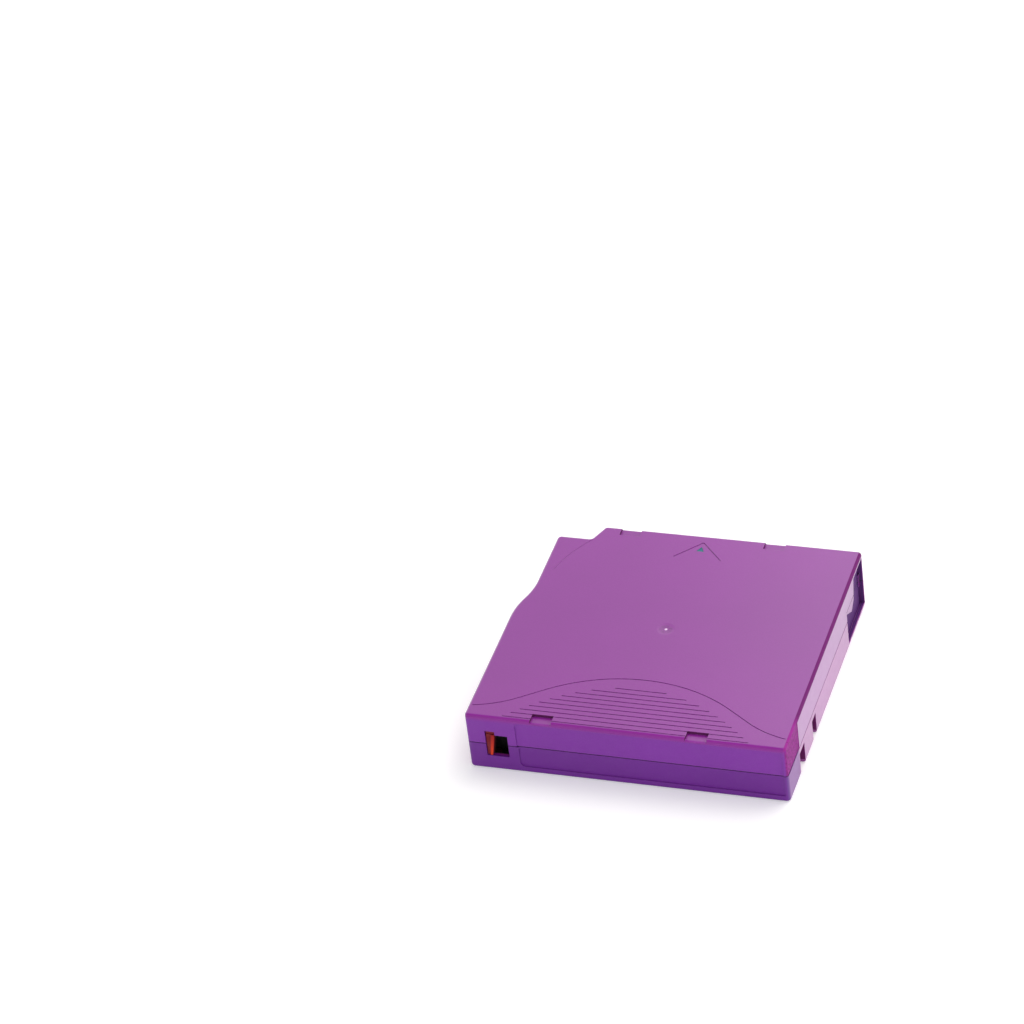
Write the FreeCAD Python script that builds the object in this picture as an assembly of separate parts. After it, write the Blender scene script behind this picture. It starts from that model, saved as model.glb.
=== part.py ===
import FreeCAD, Part
import math
import os

from FreeCAD import Placement, Rotation, Vector

# Data tape cartridge, closed, label end towards -Y, loading direction +Y, base on Z = 0.
# All sizes are millimetres. The origin is the middle of the base of the case.

# --- Case, overall ---
WIDTH = 105.4
LENGTH = 102.0
PARTING_Z = 10.4            # height of the joint line between the two shells
WALL = 1.8                  # side walls
PLATE = 1.7                 # top and bottom plates
EDGE_ROUND = 1.0            # rounding of the top and bottom outer edges
CORNER_ROUND = 1.4          # upright outer corners
SEAM_DEPTH = 0.6            # shadow groove where the shells meet
SEAM_HALF = 0.15
BITE = 0.5                  # how far a rib or boss reaches into the wall that carries it
PAST = 1.0                  # how far a cutter runs past the face it opens

# --- Case, plan outline of the left side and the front left corner ---
SIDE_STEP = 3.6             # how far the front half of the left side stands back
STEP_START_Y = 0.0
STEP_RUN = 20.0             # length of the S bend
NOSE_SETBACK = 7.1          # front left corner, back from the front face
NOSE_WIDTH = 11.5           # its width along the set-back edge
NOSE_SLANT = 3.0            # run of the slanting edge

# --- Running and fitting clearances ---
SLIDE_GAP = 0.15            # sliding pieces in their grooves
FIT_GAP = 0.05              # pieces held still
RUN_GAP = 0.3               # pieces on different moving bodies
KEY_GAP = 0.1               # brake button on its key

# --- Reel ---
REEL_SIDE_MARGIN = 4.2      # flange to the side face; the door and its spring pass here
REEL_END_MARGIN = 2.5       # flange to the front and rear faces
FLANGE_T = 1.2
FLANGE_BEVEL = 0.3
HUB_R = 22.0
HUB_WALL = 2.5
WEB_T = 1.6                 # floor of the hub
WEB_RECESS = 0.9            # floor's underside, up from the foot of the hub
REEL_SEAT_T = 0.8           # land round the drive window that the reel stands on
SPIGOT_T = 1.35             # ring of the upper flange that sits inside the hub
SPIGOT_H = 1.2
TAPE_WIDTH = 12.65
TAPE_SIDE_GAP = 0.15
REEL_HEADROOM = 1.65        # upper flange to the roof
PACK_SETBACK = 2.3          # full pack, inside the rim of the flanges
PACK_BEVEL = 0.1

# --- Teeth of the drive ring and of the brake, as shares of their pitch ---
TOOTH_ROOT_HALF = 0.38
TOOTH_TIP_HALF = 0.10
TOOTH_ROOT_DEPTH = 0.2      # how far each tooth reaches into its ring, mm

# --- Drive window and drive teeth ---
WINDOW_R = 18.5
WINDOW_CHAMFER = 0.5
SEAT_RIM = 1.8
DRIVE_TEETH = 60
DRIVE_TOOTH_R0 = 13.2
DRIVE_TOOTH_R1 = 17.2
DRIVE_TOOTH_H = 1.0
DRIVE_RING_MARGIN = 0.6     # recess of the hub past its drive teeth

# --- Clutch plate ---
CLUTCH_R = 12.4
CLUTCH_BORE_R = 3.0
CLUTCH_T = 0.8
LEG_COUNT = 3
LEG_CIRCLE_R = 8.0
LEG_R = 1.9
LEG_HOLE_GAP = 0.3

# --- Brake ---
BRAKE_TEETH = 36
BRAKE_TOOTH_RUN = 3.2       # their length along the radius
BRAKE_TOOTH_INSET = 0.6     # off the rim of the button
BRAKE_TOOTH_H = 1.1
BRAKE_LAND_H = 0.5          # ring under the brake teeth of the hub
BRAKE_LAND_MARGIN = 0.4     # the ring past the teeth, both ways
BUTTON_SIDE_GAP = 1.9       # rim of the button to the inside of the hub
BUTTON_T = 1.8
BUTTON_NECK_R = 5.6
NECK_HEADROOM = 2.0         # lifted neck to the roof
KEY_SPAN = 8.0
KEY_BLADE = 1.6
BRAKE_LIFT = 1.5            # travel up from the stored position
BRAKE_SPRING_R = 7.4
BRAKE_WIRE_R = 0.35
BRAKE_SPRING_TURNS = 5
SPRING_SEAT_T = 0.8
LEG_SUNK = 0.1              # ends of the pad's legs, below the floor of the hub
PAD_T = 1.2
PAD_CORNER_R = 11.0
PAD_POINT = 1.35            # untrimmed corners, as a share of that radius

# --- Door in the right side ---
DOOR_TRAVEL = 22.0
DOOR_FRONT_WALL = 1.6       # closed door to the front face
DOOR_T = 1.2
DOOR_WALL = 1.2             # side wall outside the door's channel
DOOR_GROOVE = 0.8           # depth of the channel in each plate
DOOR_LAP = 1.1              # door behind the wall at the rear edge
OPENING_LIP = 1.5           # case above and below the opening
DOOR_FACE_STEP = 0.45       # low and front parts of the door's face stand back
DOOR_STEP_FOOT = 0.6        # where the step starts, off the rear edge
DOOR_STEP_REAR_Z = 9.2
DOOR_STEP_BACK = (19.4, 10.8)    # its corners: off the door's front edge, and height
DOOR_STEP_LOW = (11.4, 6.4)
DOOR_STEP_RISE = (8.2, 8.8)
DOOR_STEP_TOP = 5.8         # width of the step at the top of the opening
DOOR_RIB_H = 4.6            # operating rib in the slit of the front wall
DOOR_RIB_DEPTH = 2.3
DOOR_RIB_LAP = 1.2          # rib along the door
DOOR_RIB_SUNK = 0.2         # its end, inside the front face
DOOR_CHANNEL_SPARE = 1.0    # channel past the open door
DOOR_SPRING_R = 1.5
DOOR_WIRE_R = 0.2
DOOR_SPRING_TURNS = 15
SPRING_ROD_R = 1.0
SPRING_ROD_SPARE = 1.3      # end of the rod to the open door
SPRING_BRACKET_INSET = 27.0    # its front face, off the rear face of the case
SPRING_SIDE_GAP = 0.55      # spring to the outside of the door
SPRING_BRACKET_T = 3.0
DOOR_LUG_T = 1.6
DOOR_LUG_LAP = 0.25         # lug past the outside of the spring

# --- Leader pin ---
PIN_INSET_X = 7.2           # off the right side
PIN_INSET_Y = 9.5           # off the front face
PIN_R = 1.3
PIN_END_R = 2.2
PIN_FLANGE_R = 2.7
PIN_FLANGE_T = 0.8
PIN_BEVEL = 0.3
PIN_SEAT_WALL = 1.4
PIN_SEAT_H = 1.3
PIN_MOUTH = 1.0             # the cup opens to the right from here, off its middle
TAPE_T = 0.12               # leader tape, thickened
LEADER_START_Y = 1.0        # where it leaves the pack
LEADER_WRAP_DEG = 250.0     # its turn round the pin
CLAMP_T = 0.8
CLAMP_GAP_DEG = 110.0
CLAMP_START_DEG = 12.0
CLAMP_SHORT = 0.2           # clamp inside the width of the tape, each end
CLIP_WIRE_R = 0.3
CLIP_BEND_R = 1.8
CLIP_TAIL = 1.9
CLIP_ARM = 5.5
CLIP_BLOCK_W = 4.0
CLIP_BLOCK_H = 2.0
CLIP_BLOCK_REACH = 1.6      # block behind the wire
CLIP_LEVEL = 0.9            # middle of the wire, off the plate
CLIP_WALL_GAP = 1.2         # middle of the wire, off the front wall

# --- Write-protect switch, rear left ---
SWITCH_WINDOW_INSET = 6.2   # off the left side
SWITCH_WINDOW_W = 7.45
SWITCH_WINDOW_Z0 = 5.6
SWITCH_WINDOW_Z1 = 14.1
SWITCH_NOTCH_W = 3.3
SWITCH_NOTCH_Z1 = 15.5
SWITCH_TAB_W = 3.0
SWITCH_TAB_FOOT_W = 1.7     # the tab narrows towards its foot
SWITCH_SKIN = 0.6           # wall left in front of the tab's head
SWITCH_TAB_SUNK = 0.5       # its face, inside the face of the wall
SWITCH_RIDGE_W = 1.2        # raised ridge down its right side
SWITCH_RIDGE_IN = 0.9       # left edge of the ridge at its foot
SWITCH_TOP_LAP = 1.0        # slider above the notch
SWITCH_FOOT_H = 2.0
SWITCH_SHELF_T = 1.0
SWITCH_BODY_W = 5.4
SWITCH_BODY_D = 3.6
SWITCH_PLATE_T = 1.2
SWITCH_ROOM_D = 5.6         # depth of the compartment
SWITCH_ROOM_SIDE = 2.0      # window to the side rib
RIB_T = 1.0
SENSE_HOLE_D = 3.0
SENSE_HOLE_OFF = 0.9        # off the rear wall
SENSE_HOLE_SHIFT = 0.4      # left of the window

# --- Cartridge memory ---
CHIP_LENGTH = 18.0
CHIP_WIDTH = 8.0
CHIP_T = 0.6
CHIP_INSET_X = 12.2         # its middle, off the right side
CHIP_FOOT_Z = 2.6
CHIP_BACK = 1.2             # upper edge, off the rear wall
CHIP_RIB_INSET = 1.5        # carrying ribs, off the ends of the board
DIE_SIZE = 3.4
DIE_SHARE = 0.8             # its depth as a share of its width
DIE_T = 0.6
ANTENNA_T = 0.12
ANTENNA_W = 0.8
ANTENNA_MARGIN = 0.8

# --- Screws, from below ---
SCREW_CORNERS = [(-1, -1), (1, -1), (-1, 1), (1, 1)]
SCREW_INSETS = [(12.2, 14.5), (12.2, 15.0), (22.2, 5.8), (18.1, 6.4)]    # off those corners
SCREW_R = 1.0
SCREW_HEAD_R = 2.0
SCREW_HEAD_T = 1.2
SCREW_SOCKET = 1.1          # reach of the cross
SCREW_SOCKET_SHARE = 0.3    # half width of its blades as a share of the reach
SCREW_SOCKET_DEPTH = 0.7
SCREW_GRIP = 10.5           # shank above the head
SCREW_HEAD_Z = 2.8
BOSS_R = 2.9
HEAD_CLEARANCE = 0.3
SHANK_CLEARANCE = 0.2

# --- Locating holes in the base ---
LOCATE_HOLE_INSET = (10.1, 18.6)    # off the left side and the front face
LOCATE_SLOT_INSET = (15.3, 13.8)    # off the right side and the front face
LOCATE_R = 2.0
LOCATE_DEPTH = 3.0
LOCATE_SLOT_LENGTH = 5.2
LOCATE_WALL = 1.2

# --- Ribs round the reel ---
FENCE_GAP = 0.9             # off the rim of the flanges
FENCE_T = 0.9
FENCE_ARCS = [(128.0, 143.0), (209.0, 232.0), (297.0, 333.0)]

# --- Finger and picker notches ---
EDGE_NOTCH_W = 7.0
EDGE_NOTCH_D = 3.9
EDGE_NOTCH_H = 1.0
REAR_NOTCHES_X = [-30.9, 20.0]
FRONT_NOTCHES_X = [-28.9, 20.2]
SIDE_NOTCH_SPANS = [(14.1, 20.0), (30.2, 34.7)]    # off the rear face
SIDE_NOTCH_DEPTH = 1.7
SIDE_NOTCH_STRAIGHT = 3.0   # full depth up to here
SIDE_NOTCH_TOP = 8.2
SIDE_PAD_T = 1.6            # thickening inside the wall
SIDE_PAD_STOP = 0.6         # its top, below the top of the notch

# --- Label recess in the rear face ---
LABEL_INSET_LEFT = 17.0
LABEL_INSET_RIGHT = 1.4
LABEL_STEP = 0.5            # the upper shell's recess starts further left
LABEL_Z0 = 2.4
LABEL_INSET_TOP = 1.5
LABEL_DEPTH = 0.35
LABEL_CORNER_R = 1.8

# --- Marks in the top face ---
GROOVE_W = 0.36
GROOVE_DEPTH = 0.22
BELL_REACH = 26.0           # thumb patch outline, off the rear face: crown, flanks and skirts
BELL_CROWN_R = 52.0
BELL_CROWN_DEG = 35.5
BELL_FLANK = 9.4
BELL_SKIRT_R = 34.0
BELL_SKIRT_DEG = 25.0
GRIP_REACH = 20.6           # first grip line, off the rear face
GRIP_PITCH = 2.13
GRIP_LINES = 10
GRIP_CREST = 21.5           # crest of the curve that the lines end on
GRIP_SPREAD = 81.0
ARROW_TIP_INSET = 3.8       # off the front face
ARROW_HALF_W = 8.0
ARROW_LENGTH = 8.6
TRIANGLE_INSET = 8.5
TRIANGLE_W = 2.7
TRIANGLE_H = 2.5
MARK_DEPTH = 0.15
GATE_X = -0.3
GATE_Y = 1.3
GATE_R = 3.0
GATE_NUB_R = 0.45
SWEEP_INSETS = [(15.7, 7.8), (10.8, 15.7), (7.4, 25.4)]    # off the left side and the front
SWEEP_W = 0.25
SWEEP_DEPTH = 0.08

# --- Grip patch on the right side, rear ---
PATCH_REACH = 14.4          # off the rear face
PATCH_DEPTH = 0.15
PATCH_CORNER_R = 3.0

# --- Levels worked out from the sizes above ---
HEIGHT = (2 * PLATE + REEL_SEAT_T + RUN_GAP + 2 * FLANGE_T + 2 * TAPE_SIDE_GAP + TAPE_WIDTH
          + REEL_HEADROOM)
ROOF_Z = HEIGHT - PLATE
MID_Z = HEIGHT / 2
SEAT_Z = PLATE + REEL_SEAT_T
HUB_Z0 = SEAT_Z + RUN_GAP
PACK_Z0 = HUB_Z0 + FLANGE_T + TAPE_SIDE_GAP
PACK_Z1 = PACK_Z0 + TAPE_WIDTH
TOP_FLANGE_Z0 = PACK_Z1 + TAPE_SIDE_GAP
WEB_Z0 = HUB_Z0 + WEB_RECESS
WEB_Z1 = WEB_Z0 + WEB_T
HUB_BORE_R = HUB_R - HUB_WALL
BUTTON_R = HUB_BORE_R - BUTTON_SIDE_GAP
BRAKE_TOOTH_R1 = BUTTON_R - BRAKE_TOOTH_INSET
BRAKE_TOOTH_R0 = BRAKE_TOOTH_R1 - BRAKE_TOOTH_RUN
HUB_TEETH_Z = WEB_Z1 + BRAKE_LAND_H + BRAKE_TOOTH_H
BUTTON_Z0 = HUB_TEETH_Z + RUN_GAP + BRAKE_TOOTH_H
BUTTON_Z1 = BUTTON_Z0 + BUTTON_T
NECK_Z1 = ROOF_Z - BRAKE_LIFT - NECK_HEADROOM
PAD_Z1 = BUTTON_Z0 - FIT_GAP
PAD_Z0 = PAD_Z1 - PAD_T
LEG_Z0 = WEB_Z0 - LEG_SUNK
RIGHT_X = WIDTH / 2
LEFT_X = -WIDTH / 2
REAR_Y = -LENGTH / 2
FRONT_Y = LENGTH / 2
DOOR_X1 = RIGHT_X - DOOR_WALL - SLIDE_GAP
DOOR_X0 = DOOR_X1 - DOOR_T
DOOR_FRONT_Y = FRONT_Y - DOOR_FRONT_WALL
DOOR_REAR_Y = DOOR_FRONT_Y - DOOR_TRAVEL
DOOR_BACK_Y = DOOR_REAR_Y - DOOR_LAP
DOOR_Z0 = PLATE - DOOR_GROOVE + SLIDE_GAP
OPENING_Z0 = OPENING_LIP
OPENING_Z1 = HEIGHT - OPENING_LIP
DOOR_SPRING_X = DOOR_X1 - DOOR_SPRING_R - DOOR_WIRE_R - SPRING_SIDE_GAP
SPRING_BRACKET_Y = REAR_Y + SPRING_BRACKET_INSET
SPRING_ROD_LENGTH = DOOR_BACK_Y - DOOR_TRAVEL - SPRING_ROD_SPARE - SPRING_BRACKET_Y

# --- Places in plan, worked out from the outline ---
FLANGE_R = min(WIDTH / 2 - REEL_SIDE_MARGIN, LENGTH / 2 - REEL_END_MARGIN)
PACK_R = FLANGE_R - PACK_SETBACK
FENCE_R = FLANGE_R + FENCE_GAP
CLIP_Z = PLATE + CLIP_LEVEL
PIN_X = RIGHT_X - PIN_INSET_X
PIN_Y = FRONT_Y - PIN_INSET_Y
SWITCH_WINDOW_X0 = LEFT_X + SWITCH_WINDOW_INSET
SWITCH_WINDOW_X1 = SWITCH_WINDOW_X0 + SWITCH_WINDOW_W
CHIP_MID_X = RIGHT_X - CHIP_INSET_X
SCREW_SPOTS = [(side * (WIDTH / 2 - inset_x), end * (LENGTH / 2 - inset_y))
               for (side, end), (inset_x, inset_y) in zip(SCREW_CORNERS, SCREW_INSETS)]
LOCATE_HOLE = (LEFT_X + LOCATE_HOLE_INSET[0], FRONT_Y - LOCATE_HOLE_INSET[1])
LOCATE_SLOT = (RIGHT_X - LOCATE_SLOT_INSET[0], FRONT_Y - LOCATE_SLOT_INSET[1])
SIDE_NOTCHES_Y = [(REAR_Y + start, REAR_Y + end) for start, end in SIDE_NOTCH_SPANS]
LABEL_X0 = LEFT_X + LABEL_INSET_LEFT
LABEL_X1 = RIGHT_X - LABEL_INSET_RIGHT
LABEL_Z1 = HEIGHT - LABEL_INSET_TOP
BELL_TOP_Y = REAR_Y + BELL_REACH
GRIP_TOP_Y = REAR_Y + GRIP_REACH
GRIP_CREST_Y = REAR_Y + GRIP_CREST
ARROW_TIP_Y = FRONT_Y - ARROW_TIP_INSET
TRIANGLE_BASE_Y = FRONT_Y - TRIANGLE_INSET
SWEEP_LINE = [(LEFT_X + inset_x, FRONT_Y - inset_y) for inset_x, inset_y in SWEEP_INSETS]
PATCH_FRONT_Y = REAR_Y + PATCH_REACH


# --- Small shapes ---

def box(x0, x1, y0, y1, z0, z1):
    return Part.makeBox(x1 - x0, y1 - y0, z1 - z0, Vector(x0, y0, z0))


def rod(radius, x, y, z0, z1):
    return Part.makeCylinder(radius, z1 - z0, Vector(x, y, z0))


def ring(inner, outer, x, y, z0, z1):
    return rod(outer, x, y, z0, z1).cut(rod(inner, x, y, z0, z1))


def prism(points, z0, z1):
    corners = [Vector(x, y, z0) for x, y in points]
    face = Part.Face(Part.makePolygon(corners + corners[:1]))
    return face.extrude(Vector(0, 0, z1 - z0))


def side_prism(points, x0, x1):
    """A (Y, Z) outline pulled along X."""
    corners = [Vector(x0, y, z) for y, z in points]
    face = Part.Face(Part.makePolygon(corners + corners[:1]))
    return face.extrude(Vector(x1 - x0, 0, 0))


def front_prism(points, y0, y1):
    """An (X, Z) outline pulled along Y."""
    corners = [Vector(x, y0, z) for x, z in points]
    face = Part.Face(Part.makePolygon(corners + corners[:1]))
    return face.extrude(Vector(0, y1 - y0, 0))


def lathe(profile, x=0.0, y=0.0):
    """A closed (radius, Z) outline turned about the upright axis through x, y."""
    corners = [Vector(x + r, y, z) for r, z in profile]
    face = Part.Face(Part.makePolygon(corners + corners[:1]))
    return face.revolve(Vector(x, y, 0), Vector(0, 0, 1), 360)


def wedge(x, y, inner, outer, start_deg, end_deg, z0, z1):
    """An upright slice of a ring between two angles."""
    def at(radius, degrees):
        angle = math.radians(degrees)
        return Vector(x + radius * math.cos(angle), y + radius * math.sin(angle), z0)

    middle = (start_deg + end_deg) / 2
    edges = [
        Part.Arc(at(outer, start_deg), at(outer, middle), at(outer, end_deg)).toShape(),
        Part.LineSegment(at(outer, end_deg), at(inner, end_deg)).toShape(),
        Part.Arc(at(inner, end_deg), at(inner, middle), at(inner, start_deg)).toShape(),
        Part.LineSegment(at(inner, start_deg), at(outer, start_deg)).toShape(),
    ]
    return Part.Face(Part.Wire(edges)).extrude(Vector(0, 0, z1 - z0))


def slot_strip(start, end, width, z0, z1):
    """A straight groove cutter between two plan points."""
    run = Vector(end[0] - start[0], end[1] - start[1], 0)
    side = Vector(-run.y, run.x, 0).normalize() * (width / 2)
    points = [
        (start[0] + side.x, start[1] + side.y),
        (end[0] + side.x, end[1] + side.y),
        (end[0] - side.x, end[1] - side.y),
        (start[0] - side.x, start[1] - side.y),
    ]
    return prism(points, z0, z1)


def turned(shape, degrees):
    copy = shape.copy()
    copy.rotate(Vector(0, 0, 0), Vector(0, 0, 1), degrees)
    return copy


def flipped(shape):
    """The same shape seen from the other plate: mirrored at mid height."""
    return shape.mirror(Vector(0, 0, MID_Z), Vector(0, 0, 1))


def low_coil(radius, wire_r, turns, length):
    """A wide spring of low pitch: quarter turns, each an arc of its own slight slope."""
    rise = length - 2 * wire_r

    def at(quarter):
        angle = quarter * math.pi / 2
        return Vector(radius * math.cos(angle), radius * math.sin(angle),
                      wire_r + rise * quarter / (4 * turns))

    arcs = [Part.Arc(at(i), at(i + 0.5), at(i + 1)).toShape() for i in range(4 * turns)]
    start = arcs[0].tangentAt(arcs[0].FirstParameter)
    section = Part.Wire([Part.makeCircle(wire_r, at(0), start)])
    return Part.Wire(arcs).makePipeShell([section], True, True, 1)


def coil(radius, wire_r, turns, length):
    """A slim round-wire spring standing on Z = 0 in its own frame."""
    pitch = (length - 2 * wire_r) / turns
    path = Part.makeHelix(pitch, length - 2 * wire_r, radius)
    circle = Part.makeCircle(wire_r, Vector(radius, 0, 0), Vector(0, 1, 0))
    spring = Part.Wire(path.Edges).makePipeShell([Part.Wire([circle])], True, True)
    spring.translate(Vector(0, 0, wire_r))
    return spring


# --- Case ---

def case_outline(inset):
    """Plan outline of the case as a face at Z = 0, moved inwards by inset."""
    left = LEFT_X
    inner_left = left + SIDE_STEP
    nose_y = FRONT_Y - NOSE_SETBACK
    bend_r = (SIDE_STEP ** 2 + STEP_RUN ** 2) / (4 * SIDE_STEP)
    step_end_y = STEP_START_Y + STEP_RUN
    half = math.atan2(SIDE_STEP, STEP_RUN)
    start = Vector(left, STEP_START_Y, 0)
    middle = Vector(left + SIDE_STEP / 2, STEP_START_Y + STEP_RUN / 2, 0)
    end = Vector(inner_left, step_end_y, 0)
    first_centre = Vector(left + bend_r, STEP_START_Y, 0)
    second_centre = Vector(inner_left - bend_r, step_end_y, 0)
    first_mid = first_centre + Vector(-math.cos(half), math.sin(half), 0) * bend_r
    second_mid = second_centre + Vector(math.cos(half), -math.sin(half), 0) * bend_r
    corners = [
        end,
        Vector(inner_left, nose_y, 0),
        Vector(inner_left + NOSE_WIDTH, nose_y, 0),
        Vector(inner_left + NOSE_WIDTH + NOSE_SLANT, FRONT_Y, 0),
        Vector(RIGHT_X, FRONT_Y, 0),
        Vector(RIGHT_X, REAR_Y, 0),
        Vector(left, REAR_Y, 0),
        start,
    ]
    edges = [Part.LineSegment(a, b).toShape() for a, b in zip(corners, corners[1:])]
    edges.append(Part.Arc(start, first_mid, middle).toShape())
    edges.append(Part.Arc(middle, second_mid, end).toShape())
    wire = Part.Wire(Part.__sortEdges__(edges))
    if inset:
        wire = wire.makeOffset2D(-inset, 2)
    return Part.Face(wire)


def case_block(inset, z0, z1):
    face = case_outline(inset)
    face.translate(Vector(0, 0, z0))
    return face.extrude(Vector(0, 0, z1 - z0))


def rounded_case():
    """The closed outside of both shells in one block, edges rounded."""
    block = case_block(0, 0, HEIGHT)
    uprights = []
    for edge in block.Edges:
        low, high = edge.BoundBox.ZMin, edge.BoundBox.ZMax
        at = edge.CenterOfMass
        off_bend = abs(at.y - STEP_START_Y - STEP_RUN / 2) > STEP_RUN / 2 + PAST
        if high - low > HEIGHT / 2 and (off_bend or at.x > 0):
            uprights.append(edge)
    block = block.makeFillet(CORNER_ROUND, uprights)
    rims = []
    for edge in block.Edges:
        flat = edge.BoundBox.ZLength < 0.001
        level = edge.BoundBox.ZMin
        if flat and (level > HEIGHT - 0.01 or level < 0.01):
            rims.append(edge)
    return block.makeFillet(EDGE_ROUND, rims)


def seam_groove():
    return case_block(-1, PARTING_Z - SEAM_HALF, PARTING_Z + SEAM_HALF).cut(
        case_block(SEAM_DEPTH, PARTING_Z - SEAM_HALF, PARTING_Z + SEAM_HALF))


def fence(z0, z1):
    """Curved ribs that keep the reel off the walls, in three corners."""
    return [wedge(0, 0, FENCE_R, FENCE_R + FENCE_T, start, end, z0, z1)
            for start, end in FENCE_ARCS]


def door_channel():
    """Room in which the door slides, from its open place to the front wall."""
    x0 = DOOR_X0 - SLIDE_GAP
    x1 = DOOR_X1 + SLIDE_GAP
    y0 = DOOR_BACK_Y - DOOR_TRAVEL - DOOR_CHANNEL_SPARE
    y1 = DOOR_FRONT_Y + SLIDE_GAP
    z0 = PLATE - DOOR_GROOVE
    return box(x0, x1, y0, y1, z0, HEIGHT - z0)


def door_opening():
    return box(DOOR_X1, RIGHT_X + PAST, DOOR_REAR_Y, DOOR_FRONT_Y, OPENING_Z0, OPENING_Z1)


def door_slit():
    """Slit in the front wall that shows the door's operating rib."""
    half = DOOR_RIB_H / 2 + 2 * SLIDE_GAP
    x0 = DOOR_X1 - DOOR_RIB_DEPTH - 2 * SLIDE_GAP
    return box(x0, DOOR_X1 + SLIDE_GAP, DOOR_FRONT_Y - PAST, FRONT_Y + PAST,
               MID_Z - half, MID_Z + half)


def pin_seat():
    """Open cup for the lower end of the leader pin, and the block that holds its clip."""
    inner = PIN_END_R + RUN_GAP
    outer = inner + PIN_SEAT_WALL
    cup = ring(inner, outer, PIN_X, PIN_Y, PLATE, PLATE + PIN_SEAT_H)
    mouth = box(PIN_X + PIN_MOUTH, PIN_X + outer + PAST, PIN_Y - outer - PAST,
                PIN_Y + outer + PAST, PLATE, PLATE + PIN_SEAT_H)
    tail_y, arm_x = clip_lines()
    block_x1 = arm_x - CLIP_BEND_R - CLIP_TAIL + CLIP_BLOCK_W / 2
    block = box(block_x1 - CLIP_BLOCK_W, block_x1, tail_y - CLIP_BLOCK_REACH, FRONT_Y - WALL,
                PLATE, PLATE + CLIP_BLOCK_H)
    half = CLIP_WIRE_R + FIT_GAP
    slot = box(block_x1 - CLIP_BLOCK_W - PAST, block_x1 + PAST, tail_y - half, tail_y + half,
               CLIP_Z - half, PLATE + CLIP_BLOCK_H + PAST)
    return cup.cut(mouth).fuse(block.cut(slot))


def clip_lines():
    """Y of the clip's held tail and X of its pressing arm."""
    return FRONT_Y - WALL - CLIP_WALL_GAP, PIN_X + PIN_END_R + CLIP_WIRE_R + FIT_GAP


def switch_window():
    """Window with a notch over its left end, and room behind the wall for the tab's head."""
    notch_x1 = SWITCH_WINDOW_X0 + SWITCH_NOTCH_W
    inside_y = REAR_Y + WALL + BITE
    opening = box(SWITCH_WINDOW_X0, SWITCH_WINDOW_X1, REAR_Y - PAST, inside_y,
                  SWITCH_WINDOW_Z0, SWITCH_WINDOW_Z1)
    notch = box(SWITCH_WINDOW_X0, notch_x1, REAR_Y - PAST, inside_y,
                SWITCH_WINDOW_Z0, SWITCH_NOTCH_Z1)
    head_room = box(SWITCH_WINDOW_X0, SWITCH_WINDOW_X1, REAR_Y + SWITCH_SKIN, inside_y,
                    SWITCH_WINDOW_Z0, SWITCH_NOTCH_Z1)
    return opening.multiFuse([notch, head_room])


def switch_room(z0, z1):
    """Two ribs that close the switch's compartment against the reel."""
    x1 = SWITCH_WINDOW_X1 + SWITCH_ROOM_SIDE
    y1 = REAR_Y + WALL + SWITCH_ROOM_D
    side = box(x1, x1 + RIB_T, REAR_Y + WALL - BITE, y1, z0, z1)
    front = box(LEFT_X + WALL - BITE, x1 + RIB_T, y1, y1 + RIB_T, z0, z1)
    return [side, front]


def side_notches():
    """Ramped notches low in both sides, where a picker holds the cartridge."""
    cutters = []
    for y0, y1 in SIDE_NOTCHES_Y:
        deep = RIGHT_X - SIDE_NOTCH_DEPTH
        ramp = [(deep, -PAST), (RIGHT_X + PAST, -PAST), (RIGHT_X + PAST, SIDE_NOTCH_TOP),
                (RIGHT_X, SIDE_NOTCH_TOP), (deep, SIDE_NOTCH_STRAIGHT)]
        notch = front_prism(ramp, y0, y1)
        cutters.append(notch)
        cutters.append(notch.mirror(Vector(0, 0, 0), Vector(1, 0, 0)))
    return cutters


def side_pads():
    """Thickened wall behind the side notches."""
    y0 = min(y for y, _ in SIDE_NOTCHES_Y) - WALL
    y1 = max(y for _, y in SIDE_NOTCHES_Y) + WALL
    x1 = RIGHT_X - WALL + BITE
    x0 = RIGHT_X - WALL - SIDE_PAD_T
    pad = box(x0, x1, y0, y1, PLATE - BITE, SIDE_NOTCH_TOP - SIDE_PAD_STOP)
    return [pad, pad.mirror(Vector(0, 0, 0), Vector(1, 0, 0))]


def spring_bracket():
    """Block on the base with the rod that guides the door spring."""
    y0 = SPRING_BRACKET_Y - SPRING_BRACKET_T
    half = DOOR_SPRING_R + DOOR_WIRE_R
    wall_x = RIGHT_X - WALL
    foot = box(DOOR_SPRING_X - half, wall_x + BITE, y0, SPRING_BRACKET_Y, PLATE - BITE, PARTING_Z)
    head = box(DOOR_SPRING_X - half, wall_x - SLIDE_GAP, y0, SPRING_BRACKET_Y,
               PARTING_Z - BITE, MID_Z + half)
    guide = Part.makeCylinder(SPRING_ROD_R, SPRING_ROD_LENGTH + BITE,
                              Vector(DOOR_SPRING_X, SPRING_BRACKET_Y - BITE, MID_Z),
                              Vector(0, 1, 0))
    return [foot, head, guide]


def chip_frame():
    """Foot point of the memory board and the direction up its slope, in Y and Z."""
    rise = CHIP_WIDTH / math.sqrt(2)
    foot_y = REAR_Y + WALL + CHIP_BACK + rise
    return foot_y, rise


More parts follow.
